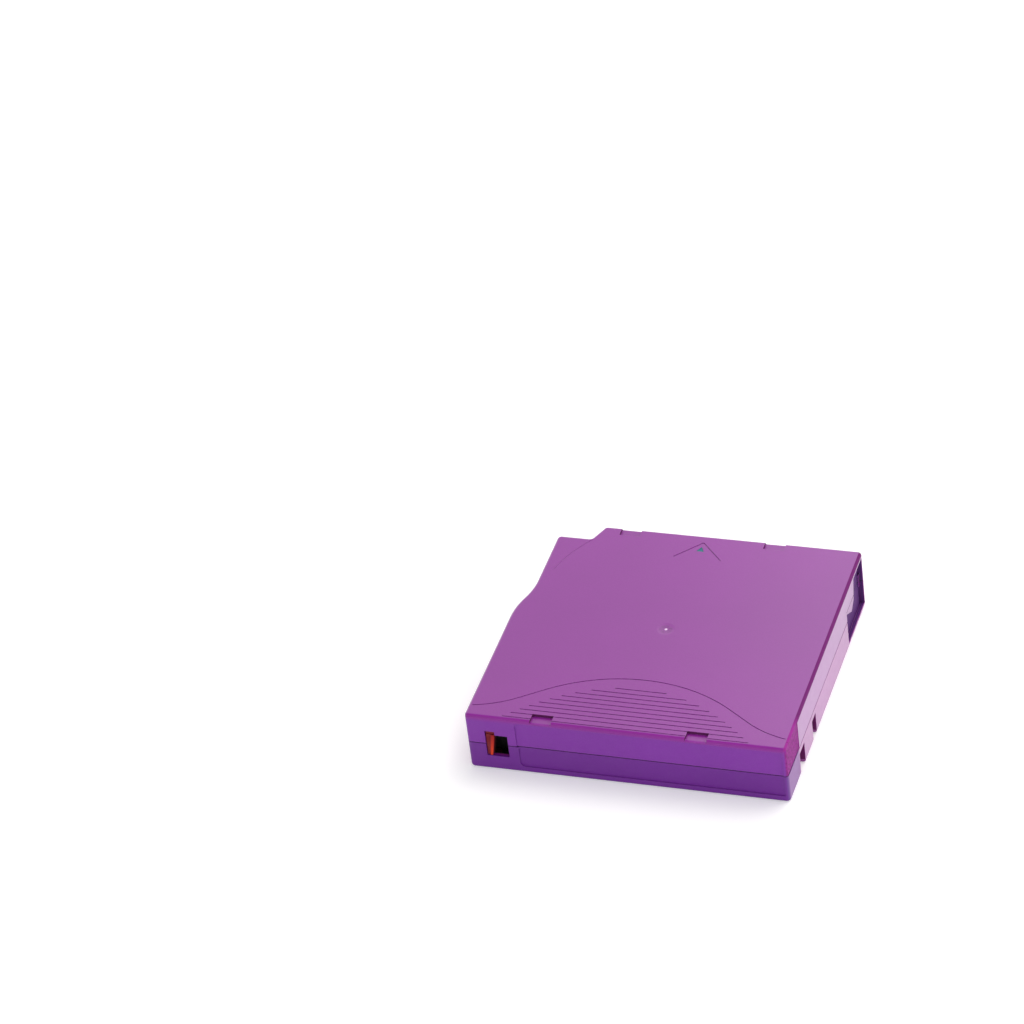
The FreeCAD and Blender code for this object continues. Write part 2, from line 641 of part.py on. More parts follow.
def chip_ribs():
    """Two sloping ribs that carry the memory board at 45 degrees."""
    foot_y, rise = chip_frame()
    outline = [(REAR_Y + WALL - BITE, PLATE - BITE), (foot_y, PLATE - BITE), (foot_y, CHIP_FOOT_Z),
               (foot_y - rise, CHIP_FOOT_Z + rise), (REAR_Y + WALL - BITE, CHIP_FOOT_Z + rise)]
    reach = CHIP_LENGTH / 2 - CHIP_RIB_INSET
    return [side_prism(outline, CHIP_MID_X - reach - RIB_T, CHIP_MID_X - reach),
            side_prism(outline, CHIP_MID_X + reach, CHIP_MID_X + reach + RIB_T)]


def locating_boss(spot, length):
    """A round or slotted boss on the inside of the base and its blind hole."""
    x, y = spot
    half = (length - 2 * LOCATE_R) / 2
    outer_r = LOCATE_R + LOCATE_WALL
    top = LOCATE_DEPTH + LOCATE_WALL
    boss = [rod(outer_r, x - half, y, PLATE - BITE, top)]
    hole = [rod(LOCATE_R, x - half, y, -PAST, LOCATE_DEPTH)]
    if half > 0:
        boss += [rod(outer_r, x + half, y, PLATE - BITE, top),
                 box(x - half, x + half, y - outer_r, y + outer_r, PLATE - BITE, top)]
        hole += [rod(LOCATE_R, x + half, y, -PAST, LOCATE_DEPTH),
                 box(x - half, x + half, y - LOCATE_R, y + LOCATE_R, -PAST, LOCATE_DEPTH)]
    return boss, hole


def make_lower_shell(outside, cavity):
    shell = outside.common(box(-WIDTH, WIDTH, -LENGTH, LENGTH, -PAST, PARTING_Z))
    shell = shell.cut(cavity)
    bosses = [rod(BOSS_R, x, y, PLATE - BITE, PARTING_Z) for x, y in SCREW_SPOTS]
    hole_boss, hole_cut = locating_boss(LOCATE_HOLE, 2 * LOCATE_R)
    slot_boss, slot_cut = locating_boss(LOCATE_SLOT, LOCATE_SLOT_LENGTH)
    seat = ring(WINDOW_R, WINDOW_R + SEAT_RIM, 0, 0, PLATE - BITE, SEAT_Z)
    adds = bosses + hole_boss + slot_boss + [seat, pin_seat()]
    adds += fence(PLATE - BITE, PARTING_Z) + switch_room(PLATE - BITE, PARTING_Z)
    adds += side_pads() + chip_ribs() + spring_bracket()
    shell = shell.multiFuse(adds)
    window = rod(WINDOW_R, 0, 0, -PAST, SEAT_Z + PAST)
    flare = Part.makeCone(WINDOW_R + 2 * WINDOW_CHAMFER, WINDOW_R, 2 * WINDOW_CHAMFER,
                          Vector(0, 0, -WINDOW_CHAMFER))
    sense_x0 = SWITCH_WINDOW_X0 - SENSE_HOLE_SHIFT
    sense_y0 = REAR_Y + WALL + SENSE_HOLE_OFF
    sense = box(sense_x0, sense_x0 + SWITCH_WINDOW_W, sense_y0, sense_y0 + SENSE_HOLE_D,
                -PAST, PLATE + PAST)
    cuts = [window, flare, sense, switch_window(), door_channel(), door_opening(), door_slit()]
    cuts += hole_cut + slot_cut + side_notches() + [seam_groove()]
    for x, y in SCREW_SPOTS:
        cuts.append(rod(SCREW_HEAD_R + HEAD_CLEARANCE, x, y, -PAST, SCREW_HEAD_Z + SCREW_HEAD_T))
        cuts.append(rod(SCREW_R + SHANK_CLEARANCE, x, y, -PAST, PARTING_Z + PAST))
    cuts.append(label_recess(LABEL_X0))
    return shell.cut(Part.makeCompound(cuts)).removeSplitter()


def label_recess(x0):
    """Shallow recess for the label in the rear face, its left corners rounded."""
    panel = box(x0, LABEL_X1, REAR_Y - PAST, REAR_Y + LABEL_DEPTH, LABEL_Z0, LABEL_Z1)
    edges = [edge for edge in panel.Edges
             if edge.BoundBox.YLength > LABEL_DEPTH and edge.CenterOfMass.x < x0 + BITE]
    return panel.makeFillet(LABEL_CORNER_R, edges)


def edge_notches():
    """Finger notches cut down from the top plate at the front and rear edges."""
    z0 = HEIGHT - EDGE_NOTCH_H
    cutters = []
    for x in REAR_NOTCHES_X:
        cutters.append(box(x, x + EDGE_NOTCH_W, REAR_Y - PAST, REAR_Y + EDGE_NOTCH_D,
                           z0, HEIGHT + PAST))
    for x in FRONT_NOTCHES_X:
        cutters.append(box(x, x + EDGE_NOTCH_W, FRONT_Y - EDGE_NOTCH_D, FRONT_Y + PAST,
                           z0, HEIGHT + PAST))
    return cutters


def thumb_patch_cutters():
    """Bell-shaped outline and the rows of grip lines inside it."""
    z0 = HEIGHT - GROOVE_DEPTH
    z1 = HEIGHT + PAST
    half = GROOVE_W / 2
    crown_y = BELL_TOP_Y - BELL_CROWN_R
    slope = math.radians(BELL_CROWN_DEG)
    cutters = [wedge(0, crown_y, BELL_CROWN_R - half, BELL_CROWN_R + half,
                     90 - BELL_CROWN_DEG, 90 + BELL_CROWN_DEG, z0, z1)]
    for side in (-1, 1):
        x0 = side * BELL_CROWN_R * math.sin(slope)
        y0 = crown_y + BELL_CROWN_R * math.cos(slope)
        x1 = x0 + side * BELL_FLANK * math.cos(slope)
        y1 = y0 - BELL_FLANK * math.sin(slope)
        cutters.append(slot_strip((x0, y0), (x1, y1), GROOVE_W, z0, z1))
        centre_x = x1 + side * BELL_SKIRT_R * math.sin(slope)
        centre_y = y1 + BELL_SKIRT_R * math.cos(slope)
        tangent = 270 - side * BELL_CROWN_DEG
        level = tangent + side * BELL_SKIRT_DEG
        cutters.append(wedge(centre_x, centre_y, BELL_SKIRT_R - half, BELL_SKIRT_R + half,
                             min(tangent, level), max(tangent, level), z0, z1))
    for row in range(GRIP_LINES):
        y = GRIP_TOP_Y - row * GRIP_PITCH
        reach = math.sqrt(GRIP_SPREAD * (GRIP_CREST_Y - y))
        cutters.append(box(-reach, reach, y - half, y + half, z0, z1))
    return cutters


def top_mark_cutters():
    """Loading arrow, gate mark and the faint line at the front left."""
    z0 = HEIGHT - GROOVE_DEPTH
    z1 = HEIGHT + PAST
    tail_y = ARROW_TIP_Y - ARROW_LENGTH
    arms = [slot_strip((side * ARROW_HALF_W, tail_y), (0, ARROW_TIP_Y), GROOVE_W, z0, z1)
            for side in (-1, 1)]
    triangle = prism([(-TRIANGLE_W / 2, TRIANGLE_BASE_Y), (TRIANGLE_W / 2, TRIANGLE_BASE_Y),
                      (0, TRIANGLE_BASE_Y + TRIANGLE_H)], HEIGHT - MARK_DEPTH, z1)
    dish_r = GATE_R ** 2 / (2 * MARK_DEPTH)
    dish = Part.makeSphere(dish_r, Vector(GATE_X, GATE_Y, HEIGHT - MARK_DEPTH + dish_r))
    near_gate = rod(GATE_R + PAST, GATE_X, GATE_Y, HEIGHT - PAST, z1)
    a, b, c = [Vector(x, y, HEIGHT - SWEEP_DEPTH) for x, y in SWEEP_LINE]
    sweep = Part.Arc(a, b, c).toShape()
    circle = sweep.Curve
    first = math.degrees(math.atan2(a.y - circle.Center.y, a.x - circle.Center.x)) % 360
    last = math.degrees(math.atan2(c.y - circle.Center.y, c.x - circle.Center.x)) % 360
    line = wedge(circle.Center.x, circle.Center.y, circle.Radius - SWEEP_W / 2,
                 circle.Radius + SWEEP_W / 2, min(first, last), max(first, last),
                 HEIGHT - SWEEP_DEPTH, z1)
    return arms + [triangle, dish.common(near_gate), line]


def grip_patch():
    """Slightly sunk patch at the rear of the right side of the upper shell."""
    patch = box(RIGHT_X - PATCH_DEPTH, RIGHT_X + PAST, REAR_Y - PAST, PATCH_FRONT_Y,
                PARTING_Z, HEIGHT + PAST)
    corner = [edge for edge in patch.Edges
              if edge.BoundBox.XLength > PATCH_DEPTH and edge.CenterOfMass.z < PARTING_Z + BITE
              and edge.CenterOfMass.y > PATCH_FRONT_Y - BITE]
    return patch.makeFillet(PATCH_CORNER_R, corner)


def brake_key():
    """Cross-shaped post under the roof; it stops the brake button from turning."""
    tip = BUTTON_Z1 + BRAKE_LIFT + RUN_GAP
    half_span = KEY_SPAN / 2
    half_blade = KEY_BLADE / 2
    return [box(-half_span, half_span, -half_blade, half_blade, tip, ROOF_Z + BITE),
            box(-half_blade, half_blade, -half_span, half_span, tip, ROOF_Z + BITE)]


def make_upper_shell(outside, cavity):
    shell = outside.common(box(-WIDTH, WIDTH, -LENGTH, LENGTH, PARTING_Z, HEIGHT + PAST))
    shell = shell.cut(cavity)
    bosses = [rod(BOSS_R, x, y, PARTING_Z, ROOF_Z + BITE) for x, y in SCREW_SPOTS]
    seat_r = BRAKE_SPRING_R + BRAKE_WIRE_R + RUN_GAP
    spring_seat = ring(seat_r, seat_r + RIB_T, 0, 0, ROOF_Z - SPRING_SEAT_T, ROOF_Z + BITE)
    adds = bosses + [spring_seat, flipped(pin_seat())] + brake_key()
    adds += fence(PARTING_Z, ROOF_Z + BITE) + switch_room(PARTING_Z, ROOF_Z + BITE)
    shell = shell.multiFuse(adds)
    cuts = [switch_window(), door_channel(), door_opening(), door_slit(),
            label_recess(LABEL_X0 - LABEL_STEP), seam_groove(), grip_patch()]
    cuts += edge_notches() + thumb_patch_cutters() + top_mark_cutters()
    screw_top = SCREW_HEAD_Z + SCREW_HEAD_T + SCREW_GRIP + RUN_GAP
    for x, y in SCREW_SPOTS:
        cuts.append(rod(SCREW_R + FIT_GAP, x, y, PARTING_Z - PAST, screw_top))
    for cutter in cuts:
        shell = shell.cut(cutter)
    nub = Part.makeSphere(GATE_NUB_R, Vector(GATE_X, GATE_Y, HEIGHT - GATE_NUB_R))
    return shell.fuse(nub).removeSplitter()


def make_case_screws():
    """Pan-head screws: heads sunk in the base, shanks in the upper bosses."""
    screws = []
    for x, y in SCREW_SPOTS:
        head_top = SCREW_HEAD_Z + SCREW_HEAD_T
        head = rod(SCREW_HEAD_R, x, y, SCREW_HEAD_Z, head_top)
        shank = rod(SCREW_R, x, y, head_top - BITE, head_top + SCREW_GRIP)
        arm = SCREW_SOCKET
        blade = SCREW_SOCKET * SCREW_SOCKET_SHARE
        low = SCREW_HEAD_Z - PAST
        high = SCREW_HEAD_Z + SCREW_SOCKET_DEPTH
        cross = box(x - arm, x + arm, y - blade, y + blade, low, high)
        cross = cross.fuse(box(x - blade, x + blade, y - arm, y + arm, low, high))
        screws.append(head.fuse(shank).cut(cross).removeSplitter())
    return Part.makeCompound(screws)


# --- Reel and brake ---

def toothed_ring(count, r0, r1, root_z, tip_z, phase):
    """Flat-topped radial teeth standing on root_z and pointing to tip_z."""
    pitch = 2 * math.pi / count
    base_half = TOOTH_ROOT_HALF * pitch
    tip_half = TOOTH_TIP_HALF * pitch
    overlap = TOOTH_ROOT_DEPTH if tip_z > root_z else -TOOTH_ROOT_DEPTH

    def station(radius):
        corners = []
        for half, z in ((base_half, root_z - overlap), (base_half, root_z),
                        (tip_half, tip_z)):
            corners.append(Vector(radius, -radius * math.tan(half), z))
            corners.append(Vector(radius, radius * math.tan(half), z))
        order = [0, 2, 4, 5, 3, 1]
        points = [corners[i] for i in order]
        return Part.makePolygon(points + points[:1])

    tooth = Part.makeLoft([station(r0), station(r1)], True, True)
    return [turned(tooth, phase + i * 360.0 / count) for i in range(count)]


def leg_rods(radius, z0, z1):
    spots = []
    for i in range(LEG_COUNT):
        angle = math.radians(90 + i * 360.0 / LEG_COUNT)
        spots.append((LEG_CIRCLE_R * math.cos(angle), LEG_CIRCLE_R * math.sin(angle)))
    return [rod(radius, x, y, z0, z1) for x, y in spots]


def make_reel_hub():
    """Hub, its floor, the lower flange, the drive teeth and the brake teeth, in one piece."""
    recess_r = DRIVE_TOOTH_R1 + DRIVE_RING_MARGIN
    flange_z1 = HUB_Z0 + FLANGE_T
    land_z = WEB_Z1 + BRAKE_LAND_H
    land_r0 = BRAKE_TOOTH_R0 - BRAKE_LAND_MARGIN
    land_r1 = BRAKE_TOOTH_R1 + BRAKE_LAND_MARGIN
    body = lathe([
        (0, WEB_Z0), (recess_r, WEB_Z0), (recess_r, HUB_Z0), (FLANGE_R - FLANGE_BEVEL, HUB_Z0),
        (FLANGE_R, HUB_Z0 + FLANGE_BEVEL), (FLANGE_R, flange_z1 - FLANGE_BEVEL),
        (FLANGE_R - FLANGE_BEVEL, flange_z1), (HUB_R, flange_z1), (HUB_R, TOP_FLANGE_Z0),
        (HUB_BORE_R, TOP_FLANGE_Z0), (HUB_BORE_R, WEB_Z1), (land_r1, WEB_Z1),
        (land_r1, land_z), (land_r0, land_z), (land_r0, WEB_Z1), (0, WEB_Z1),
    ])
    drive = toothed_ring(DRIVE_TEETH, DRIVE_TOOTH_R0, DRIVE_TOOTH_R1, WEB_Z0,
                         WEB_Z0 - DRIVE_TOOTH_H, 0)
    brake = toothed_ring(BRAKE_TEETH, BRAKE_TOOTH_R0, BRAKE_TOOTH_R1, land_z, HUB_TEETH_Z, 0)
    hub = body.multiFuse(drive + brake)
    holes = leg_rods(LEG_R + LEG_HOLE_GAP, WEB_Z0 - PAST, WEB_Z1 + PAST)
    return hub.cut(Part.makeCompound(holes))


def make_upper_flange():
    """Separate ring welded on the hub, with a spigot inside it."""
    z0 = TOP_FLANGE_Z0
    z1 = z0 + FLANGE_T
    spigot = HUB_BORE_R - FIT_GAP
    bore = spigot - SPIGOT_T
    rim = FLANGE_R - FLANGE_BEVEL
    return lathe([
        (bore, z0 - SPIGOT_H), (spigot, z0 - SPIGOT_H), (spigot, z0), (rim, z0),
        (FLANGE_R, z0 + FLANGE_BEVEL), (FLANGE_R, z1 - FLANGE_BEVEL), (rim, z1), (bore, z1),
    ])


def make_clutch_plate():
    plate = ring(CLUTCH_BORE_R, CLUTCH_R, 0, 0, WEB_Z0 - CLUTCH_T, WEB_Z0)
    holes = leg_rods(LEG_R + LEG_HOLE_GAP, WEB_Z0 - CLUTCH_T - PAST, WEB_Z0 + PAST)
    return plate.cut(Part.makeCompound(holes))


def make_tape_pack():
    """The wound tape, with a slight roll-off at its outer corners."""
    inner = HUB_R + FIT_GAP
    rim = PACK_R - PACK_BEVEL
    return lathe([
        (inner, PACK_Z0), (rim, PACK_Z0), (PACK_R, PACK_Z0 + PACK_BEVEL),
        (PACK_R, PACK_Z1 - PACK_BEVEL), (rim, PACK_Z1), (inner, PACK_Z1),
    ])


def make_brake_button():
    """Toothed disc held by the key under the roof; it locks the reel when it drops."""
    disc = rod(BUTTON_R, 0, 0, BUTTON_Z0, BUTTON_Z1)
    neck = rod(BUTTON_NECK_R, 0, 0, BUTTON_Z1 - BITE, NECK_Z1)
    teeth = toothed_ring(BRAKE_TEETH, BRAKE_TOOTH_R0, BRAKE_TOOTH_R1, BUTTON_Z0,
                         BUTTON_Z0 - BRAKE_TOOTH_H, 180.0 / BRAKE_TEETH)
    half_span = KEY_SPAN / 2 + KEY_GAP
    half_blade = KEY_BLADE / 2 + KEY_GAP
    top = NECK_Z1 + PAST
    keyway = box(-half_span, half_span, -half_blade, half_blade, BUTTON_Z1, top)
    keyway = keyway.fuse(box(-half_blade, half_blade, -half_span, half_span, BUTTON_Z1, top))
    return disc.multiFuse([neck] + teeth).cut(keyway)


def make_brake_spring():
    length = ROOF_Z - BUTTON_Z1 - 2 * FIT_GAP
    spring = low_coil(BRAKE_SPRING_R, BRAKE_WIRE_R, BRAKE_SPRING_TURNS, length)
    spring.translate(Vector(0, 0, BUTTON_Z1 + FIT_GAP))
    return spring


def make_release_pad():
    """Three-cornered pad under the brake button; the drive pushes its legs up."""
    corners = []
    for i in range(LEG_COUNT):
        angle = math.radians(90 + i * 360.0 / LEG_COUNT)
        reach = PAD_CORNER_R * PAD_POINT
        corners.append((reach * math.cos(angle), reach * math.sin(angle)))
    plate = prism(corners, PAD_Z0, PAD_Z1).common(rod(PAD_CORNER_R, 0, 0, PAD_Z0, PAD_Z1))
    legs = leg_rods(LEG_R, LEG_Z0, PAD_Z0 + BITE)
    return plate.multiFuse(legs).removeSplitter()


# --- Door ---

def make_door():
    """Sliding door: panel, operating rib at the front and spring lug at the rear."""
    z1 = HEIGHT - DOOR_Z0
    panel = box(DOOR_X0, DOOR_X1, DOOR_BACK_Y, DOOR_FRONT_Y, DOOR_Z0, z1)
    corners = [(DOOR_REAR_Y + DOOR_STEP_FOOT, OPENING_Z0), (DOOR_REAR_Y, DOOR_STEP_REAR_Z)]
    for off_front, z in (DOOR_STEP_BACK, DOOR_STEP_LOW, DOOR_STEP_RISE):
        corners.append((DOOR_FRONT_Y - off_front, z))
    corners += [(DOOR_FRONT_Y - DOOR_STEP_TOP, OPENING_Z1), (DOOR_FRONT_Y + PAST, OPENING_Z1),
                (DOOR_FRONT_Y + PAST, OPENING_Z0)]
    step = side_prism(corners, DOOR_X1 - DOOR_FACE_STEP, DOOR_X1 + PAST)
    rib_x0 = DOOR_X1 - DOOR_RIB_DEPTH
    rib = box(rib_x0, DOOR_X1, DOOR_FRONT_Y - DOOR_RIB_LAP, FRONT_Y - DOOR_RIB_SUNK,
              MID_Z - DOOR_RIB_H / 2, MID_Z + DOOR_RIB_H / 2)
    lug_half = DOOR_SPRING_R + DOOR_WIRE_R + DOOR_LUG_LAP
    lug = box(DOOR_SPRING_X - lug_half, DOOR_X1, DOOR_BACK_Y, DOOR_BACK_Y + DOOR_LUG_T,
              MID_Z - lug_half, MID_Z + lug_half)
    return panel.cut(step).multiFuse([rib, lug]).removeSplitter()


def make_door_spring():
    length = DOOR_BACK_Y - SPRING_BRACKET_Y - 2 * SLIDE_GAP
    spring = coil(DOOR_SPRING_R, DOOR_WIRE_R, DOOR_SPRING_TURNS, length)
    spring.Placement = Placement(Vector(DOOR_SPRING_X, SPRING_BRACKET_Y + SLIDE_GAP, MID_Z),
                                 Rotation(Vector(1, 0, 0), -90))
    return spring


# --- Leader ---

def make_leader_pin():
    flange_z1 = PACK_Z0 - FIT_GAP
    flange_z0 = flange_z1 - PIN_FLANGE_T
    end_z = PLATE + RUN_GAP
    lower = [(0, end_z), (PIN_END_R - PIN_BEVEL, end_z), (PIN_END_R, end_z + PIN_BEVEL),
             (PIN_END_R, flange_z0), (PIN_FLANGE_R, flange_z0), (PIN_FLANGE_R, flange_z1),
             (PIN_R, flange_z1)]
    top_flange_z0 = PACK_Z1 + FIT_GAP
    top_z = ROOF_Z - RUN_GAP
    top_flange_z1 = top_flange_z0 + PIN_FLANGE_T
    upper = [(PIN_R, top_flange_z0), (PIN_FLANGE_R, top_flange_z0),
             (PIN_FLANGE_R, top_flange_z1), (PIN_END_R, top_flange_z1),
             (PIN_END_R, top_z - PIN_BEVEL), (PIN_END_R - PIN_BEVEL, top_z), (0, top_z)]
    return lathe(lower + upper, PIN_X, PIN_Y)


def make_leader_tape():
    """First stretch of tape, from beside the pack to its turn round the leader pin."""
    wrap_r0 = PIN_R + FIT_GAP
    wrap_r1 = wrap_r0 + TAPE_T
    pack_x = PACK_R + RUN_GAP
    strip = prism([(pack_x, LEADER_START_Y), (pack_x + TAPE_T, LEADER_START_Y),
                   (PIN_X + wrap_r1, PIN_Y), (PIN_X + wrap_r0, PIN_Y)], PACK_Z0, PACK_Z1)
    wrap = wedge(PIN_X, PIN_Y, wrap_r0, wrap_r1, 0, LEADER_WRAP_DEG, PACK_Z0, PACK_Z1)
    return strip.fuse(wrap).removeSplitter()


def make_pin_clamp():
    """C-shaped clamp that snaps the tape onto the leader pin."""
    inner = PIN_R + 2 * FIT_GAP + TAPE_T
    return wedge(PIN_X, PIN_Y, inner, inner + CLAMP_T, CLAMP_START_DEG,
                 CLAMP_START_DEG + 360 - CLAMP_GAP_DEG, PACK_Z0 + CLAMP_SHORT,
                 PACK_Z1 - CLAMP_SHORT)


def make_pin_clip():
    """Bent wire that presses the lower end of the leader pin into its cup."""
    tail_y, arm_x = clip_lines()
    bend = CLIP_BEND_R
    start = Vector(arm_x - bend - CLIP_TAIL - CLIP_BLOCK_W / 2, tail_y, CLIP_Z)
    corner_in = Vector(arm_x - bend, tail_y, CLIP_Z)
    shoulder = bend * (1 - math.cos(math.pi / 4))
    middle = Vector(arm_x - shoulder, tail_y - shoulder, CLIP_Z)
    corner_out = Vector(arm_x, tail_y - bend, CLIP_Z)
    end = Vector(arm_x, tail_y - bend - CLIP_ARM, CLIP_Z)
    path = Part.Wire([Part.LineSegment(start, corner_in).toShape(),
                      Part.Arc(corner_in, middle, corner_out).toShape(),
                      Part.LineSegment(corner_out, end).toShape()])
    section = Part.Wire([Part.makeCircle(CLIP_WIRE_R, start, Vector(1, 0, 0))])
    return path.makePipeShell([section], True, True)


# --- Write-protect switch ---

def make_write_protect_switch():
    """Slider behind the rear wall: finger tab in the window, foot over the sensing hole."""
    inner_y = REAR_Y + WALL + SLIDE_GAP
    tab_x0 = SWITCH_WINDOW_X0 + SLIDE_GAP
    tab_x1 = tab_x0 + SWITCH_TAB_W
    tab_z0 = SWITCH_WINDOW_Z0 + SLIDE_GAP
    tab_z1 = SWITCH_WINDOW_Z1 - SLIDE_GAP
    body_x0 = tab_x1 - SWITCH_BODY_W
    floor_z = PLATE + RUN_GAP
    top_z = SWITCH_NOTCH_Z1 + SWITCH_TOP_LAP
    foot_x1 = tab_x0 + SWITCH_TAB_FOOT_W
    plate = front_prism([(body_x0, floor_z), (foot_x1, floor_z), (foot_x1, tab_z0),
                         (tab_x1, tab_z1), (tab_x1, top_z), (body_x0, top_z)],
                        inner_y, inner_y + SWITCH_PLATE_T)
    tab = front_prism([(tab_x0, tab_z0), (foot_x1, tab_z0), (tab_x1, tab_z1), (tab_x0, tab_z1)],
                      REAR_Y + SWITCH_TAB_SUNK, inner_y + BITE)
    head = box(tab_x0, tab_x1, REAR_Y + SWITCH_SKIN + SLIDE_GAP, inner_y + BITE,
               tab_z1 - BITE, SWITCH_NOTCH_Z1 - SLIDE_GAP)
    ridge = front_prism([(tab_x0 + SWITCH_RIDGE_IN, tab_z0), (foot_x1, tab_z0),
                         (tab_x1, tab_z1), (tab_x1 - SWITCH_RIDGE_W, tab_z1)],
                        REAR_Y + SLIDE_GAP, inner_y)
    foot = box(body_x0, tab_x1, inner_y, inner_y + SWITCH_BODY_D, floor_z, floor_z + SWITCH_FOOT_H)
    shelf = box(body_x0, tab_x1, inner_y, inner_y + SWITCH_BODY_D, top_z - SWITCH_SHELF_T, top_z)
    return plate.multiFuse([tab, head, ridge, foot, shelf]).removeSplitter()


# --- Cartridge memory ---

def on_chip(shape):
    """Places a flat shape (X along the board, Y up its slope, Z out of it) on the ribs."""
    foot_y, rise = chip_frame()
    placed = shape.copy()
    placed.rotate(Vector(0, 0, 0), Vector(0, 0, 1), 180)
    placed.rotate(Vector(0, 0, 0), Vector(1, 0, 0), -45)
    placed.translate(Vector(CHIP_MID_X, foot_y, CHIP_FOOT_Z))
    return placed


def make_memory_board():
    half = CHIP_LENGTH / 2
    return on_chip(box(-half, half, 0, CHIP_WIDTH, 0, CHIP_T))


def make_memory_die():
    half = DIE_SIZE / 2
    mid = CHIP_WIDTH / 2
    return on_chip(box(-half, half, mid - half * DIE_SHARE, mid + half * DIE_SHARE,
                       CHIP_T, CHIP_T + DIE_T))


def make_memory_antenna():
    half = CHIP_LENGTH / 2 - ANTENNA_MARGIN
    y0 = ANTENNA_MARGIN
    y1 = CHIP_WIDTH - ANTENNA_MARGIN
    outer = box(-half, half, y0, y1, CHIP_T, CHIP_T + ANTENNA_T)
    inner = box(-half + ANTENNA_W, half - ANTENNA_W, y0 + ANTENNA_W, y1 - ANTENNA_W,
                CHIP_T - PAST, CHIP_T + PAST)
    return on_chip(outer.cut(inner))


def main():
    outside = rounded_case()
    cavity = case_block(WALL, PLATE, ROOF_Z)
    lower_clip = make_pin_clip()
    nodes = {
        "lower_shell": make_lower_shell(outside, cavity),
        "upper_shell": make_upper_shell(outside, cavity),
        "case_screws": make_case_screws(),
        "reel_hub": make_reel_hub(),
        "reel_upper_flange": make_upper_flange(),
        "reel_clutch_plate": make_clutch_plate(),
        "tape_pack": make_tape_pack(),
        "leader_tape": make_leader_tape(),
        "leader_pin": make_leader_pin(),
        "leader_pin_clamp": make_pin_clamp(),
        "pin_clip_lower": lower_clip,
        "pin_clip_upper": flipped(lower_clip),
        "brake_button": make_brake_button(),
        "brake_spring": make_brake_spring(),
        "brake_release_pad": make_release_pad(),
        "door": make_door(),
        "door_spring": make_door_spring(),
        "write_protect_switch": make_write_protect_switch(),
        "memory_board": make_memory_board(),
        "memory_die": make_memory_die(),
        "memory_antenna": make_memory_antenna(),
    }
    os.makedirs("parts", exist_ok=True)
    for name, shape in nodes.items():
        print(name, len(shape.Solids), shape.isValid(), round(shape.Volume, 2))
        shape.exportStep("parts/" + name + ".step")


main()
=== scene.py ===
import math

import bpy
from mathutils import Matrix, Vector


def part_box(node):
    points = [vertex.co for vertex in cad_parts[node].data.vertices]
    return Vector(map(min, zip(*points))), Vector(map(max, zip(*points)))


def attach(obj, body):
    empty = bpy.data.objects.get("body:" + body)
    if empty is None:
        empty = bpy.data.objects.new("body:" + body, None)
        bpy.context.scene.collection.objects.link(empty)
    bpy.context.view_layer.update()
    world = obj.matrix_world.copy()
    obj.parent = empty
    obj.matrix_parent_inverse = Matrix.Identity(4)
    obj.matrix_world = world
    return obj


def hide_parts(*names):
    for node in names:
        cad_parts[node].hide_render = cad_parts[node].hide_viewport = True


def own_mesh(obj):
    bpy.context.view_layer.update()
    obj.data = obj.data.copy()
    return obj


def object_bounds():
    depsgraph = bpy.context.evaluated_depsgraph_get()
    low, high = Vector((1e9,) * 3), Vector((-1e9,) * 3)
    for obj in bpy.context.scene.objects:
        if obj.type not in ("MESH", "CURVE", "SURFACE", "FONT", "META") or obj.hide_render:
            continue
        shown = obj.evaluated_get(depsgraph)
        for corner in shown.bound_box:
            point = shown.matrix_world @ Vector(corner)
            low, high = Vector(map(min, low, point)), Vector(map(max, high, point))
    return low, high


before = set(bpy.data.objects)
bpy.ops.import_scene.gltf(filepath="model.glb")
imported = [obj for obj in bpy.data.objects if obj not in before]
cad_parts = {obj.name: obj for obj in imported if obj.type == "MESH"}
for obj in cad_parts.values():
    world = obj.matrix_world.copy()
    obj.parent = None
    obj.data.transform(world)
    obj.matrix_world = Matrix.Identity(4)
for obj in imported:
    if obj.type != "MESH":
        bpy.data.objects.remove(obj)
cad_low, cad_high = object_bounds()

MILLIMETRE = 0.001

# Viewing direction and place of the camera, in degrees and metres.
VIEW_AZIMUTH = 21.39
VIEW_ELEVATION = 36.68
VIEW_ROLL = -7.6
VIEW_DISTANCE = 1.5287
VIEW_ASIDE = -0.0506          # along the picture's width
VIEW_ABOVE = 0.0470           # along its height
VIEW_END = 20.0
LENS_MM = 166.4
SENSOR_MM = 36.0

# The case's colours, as linear colours: its own colour, a darker and bluer copy on the label end
# as painted shade, and the lower shell's copies, a lighter and redder one as painted light and a
# darker one on its label end as painted shade.
CASE_COLOUR = (0.25, 0.012, 0.29)
LABEL_END_SHADE_COLOUR = (0.20, 0.016, 0.34)
LOWER_LIT_COLOUR = (0.30, 0.014, 0.29)
LOWER_LABEL_SHADE_COLOUR = (0.14, 0.004, 0.26)

# Linear colours of the zones of the case that are painted by their place: the finger patch's own
# tone, and painted shade, painted reflections and a painted highlight.
PATCH_COLOUR = (0.19, 0.004, 0.17)
PATCH_LIGHT_COLOUR = (0.30, 0.012, 0.26)
# The top's rounded right edge takes a painted dark reflection, paler and pinker near the finger
# patch.
PATCH_EDGE_REFLECTION_COLOUR = (0.30, 0.014, 0.26)
SIDE_EDGE_REFLECTION_COLOUR = (0.14, 0.003, 0.13)
# Painted reflection on the rounded edge between the top and the label end.
LABEL_EDGE_REFLECTION_COLOUR = (0.25, 0.008, 0.28)
# Painted violet reflection on the right side below the finger patch.
CORNER_REFLECTION_COLOUR = (0.15, 0.055, 0.28)
# Painted shade on the walls of the picker notches.
NOTCH_SHADE_COLOUR = (0.13, 0.0012, 0.10)
# Painted shade on the walls of the finger notches.
FINGER_WALL_SHADE_COLOUR = (0.09, 0.002, 0.075)
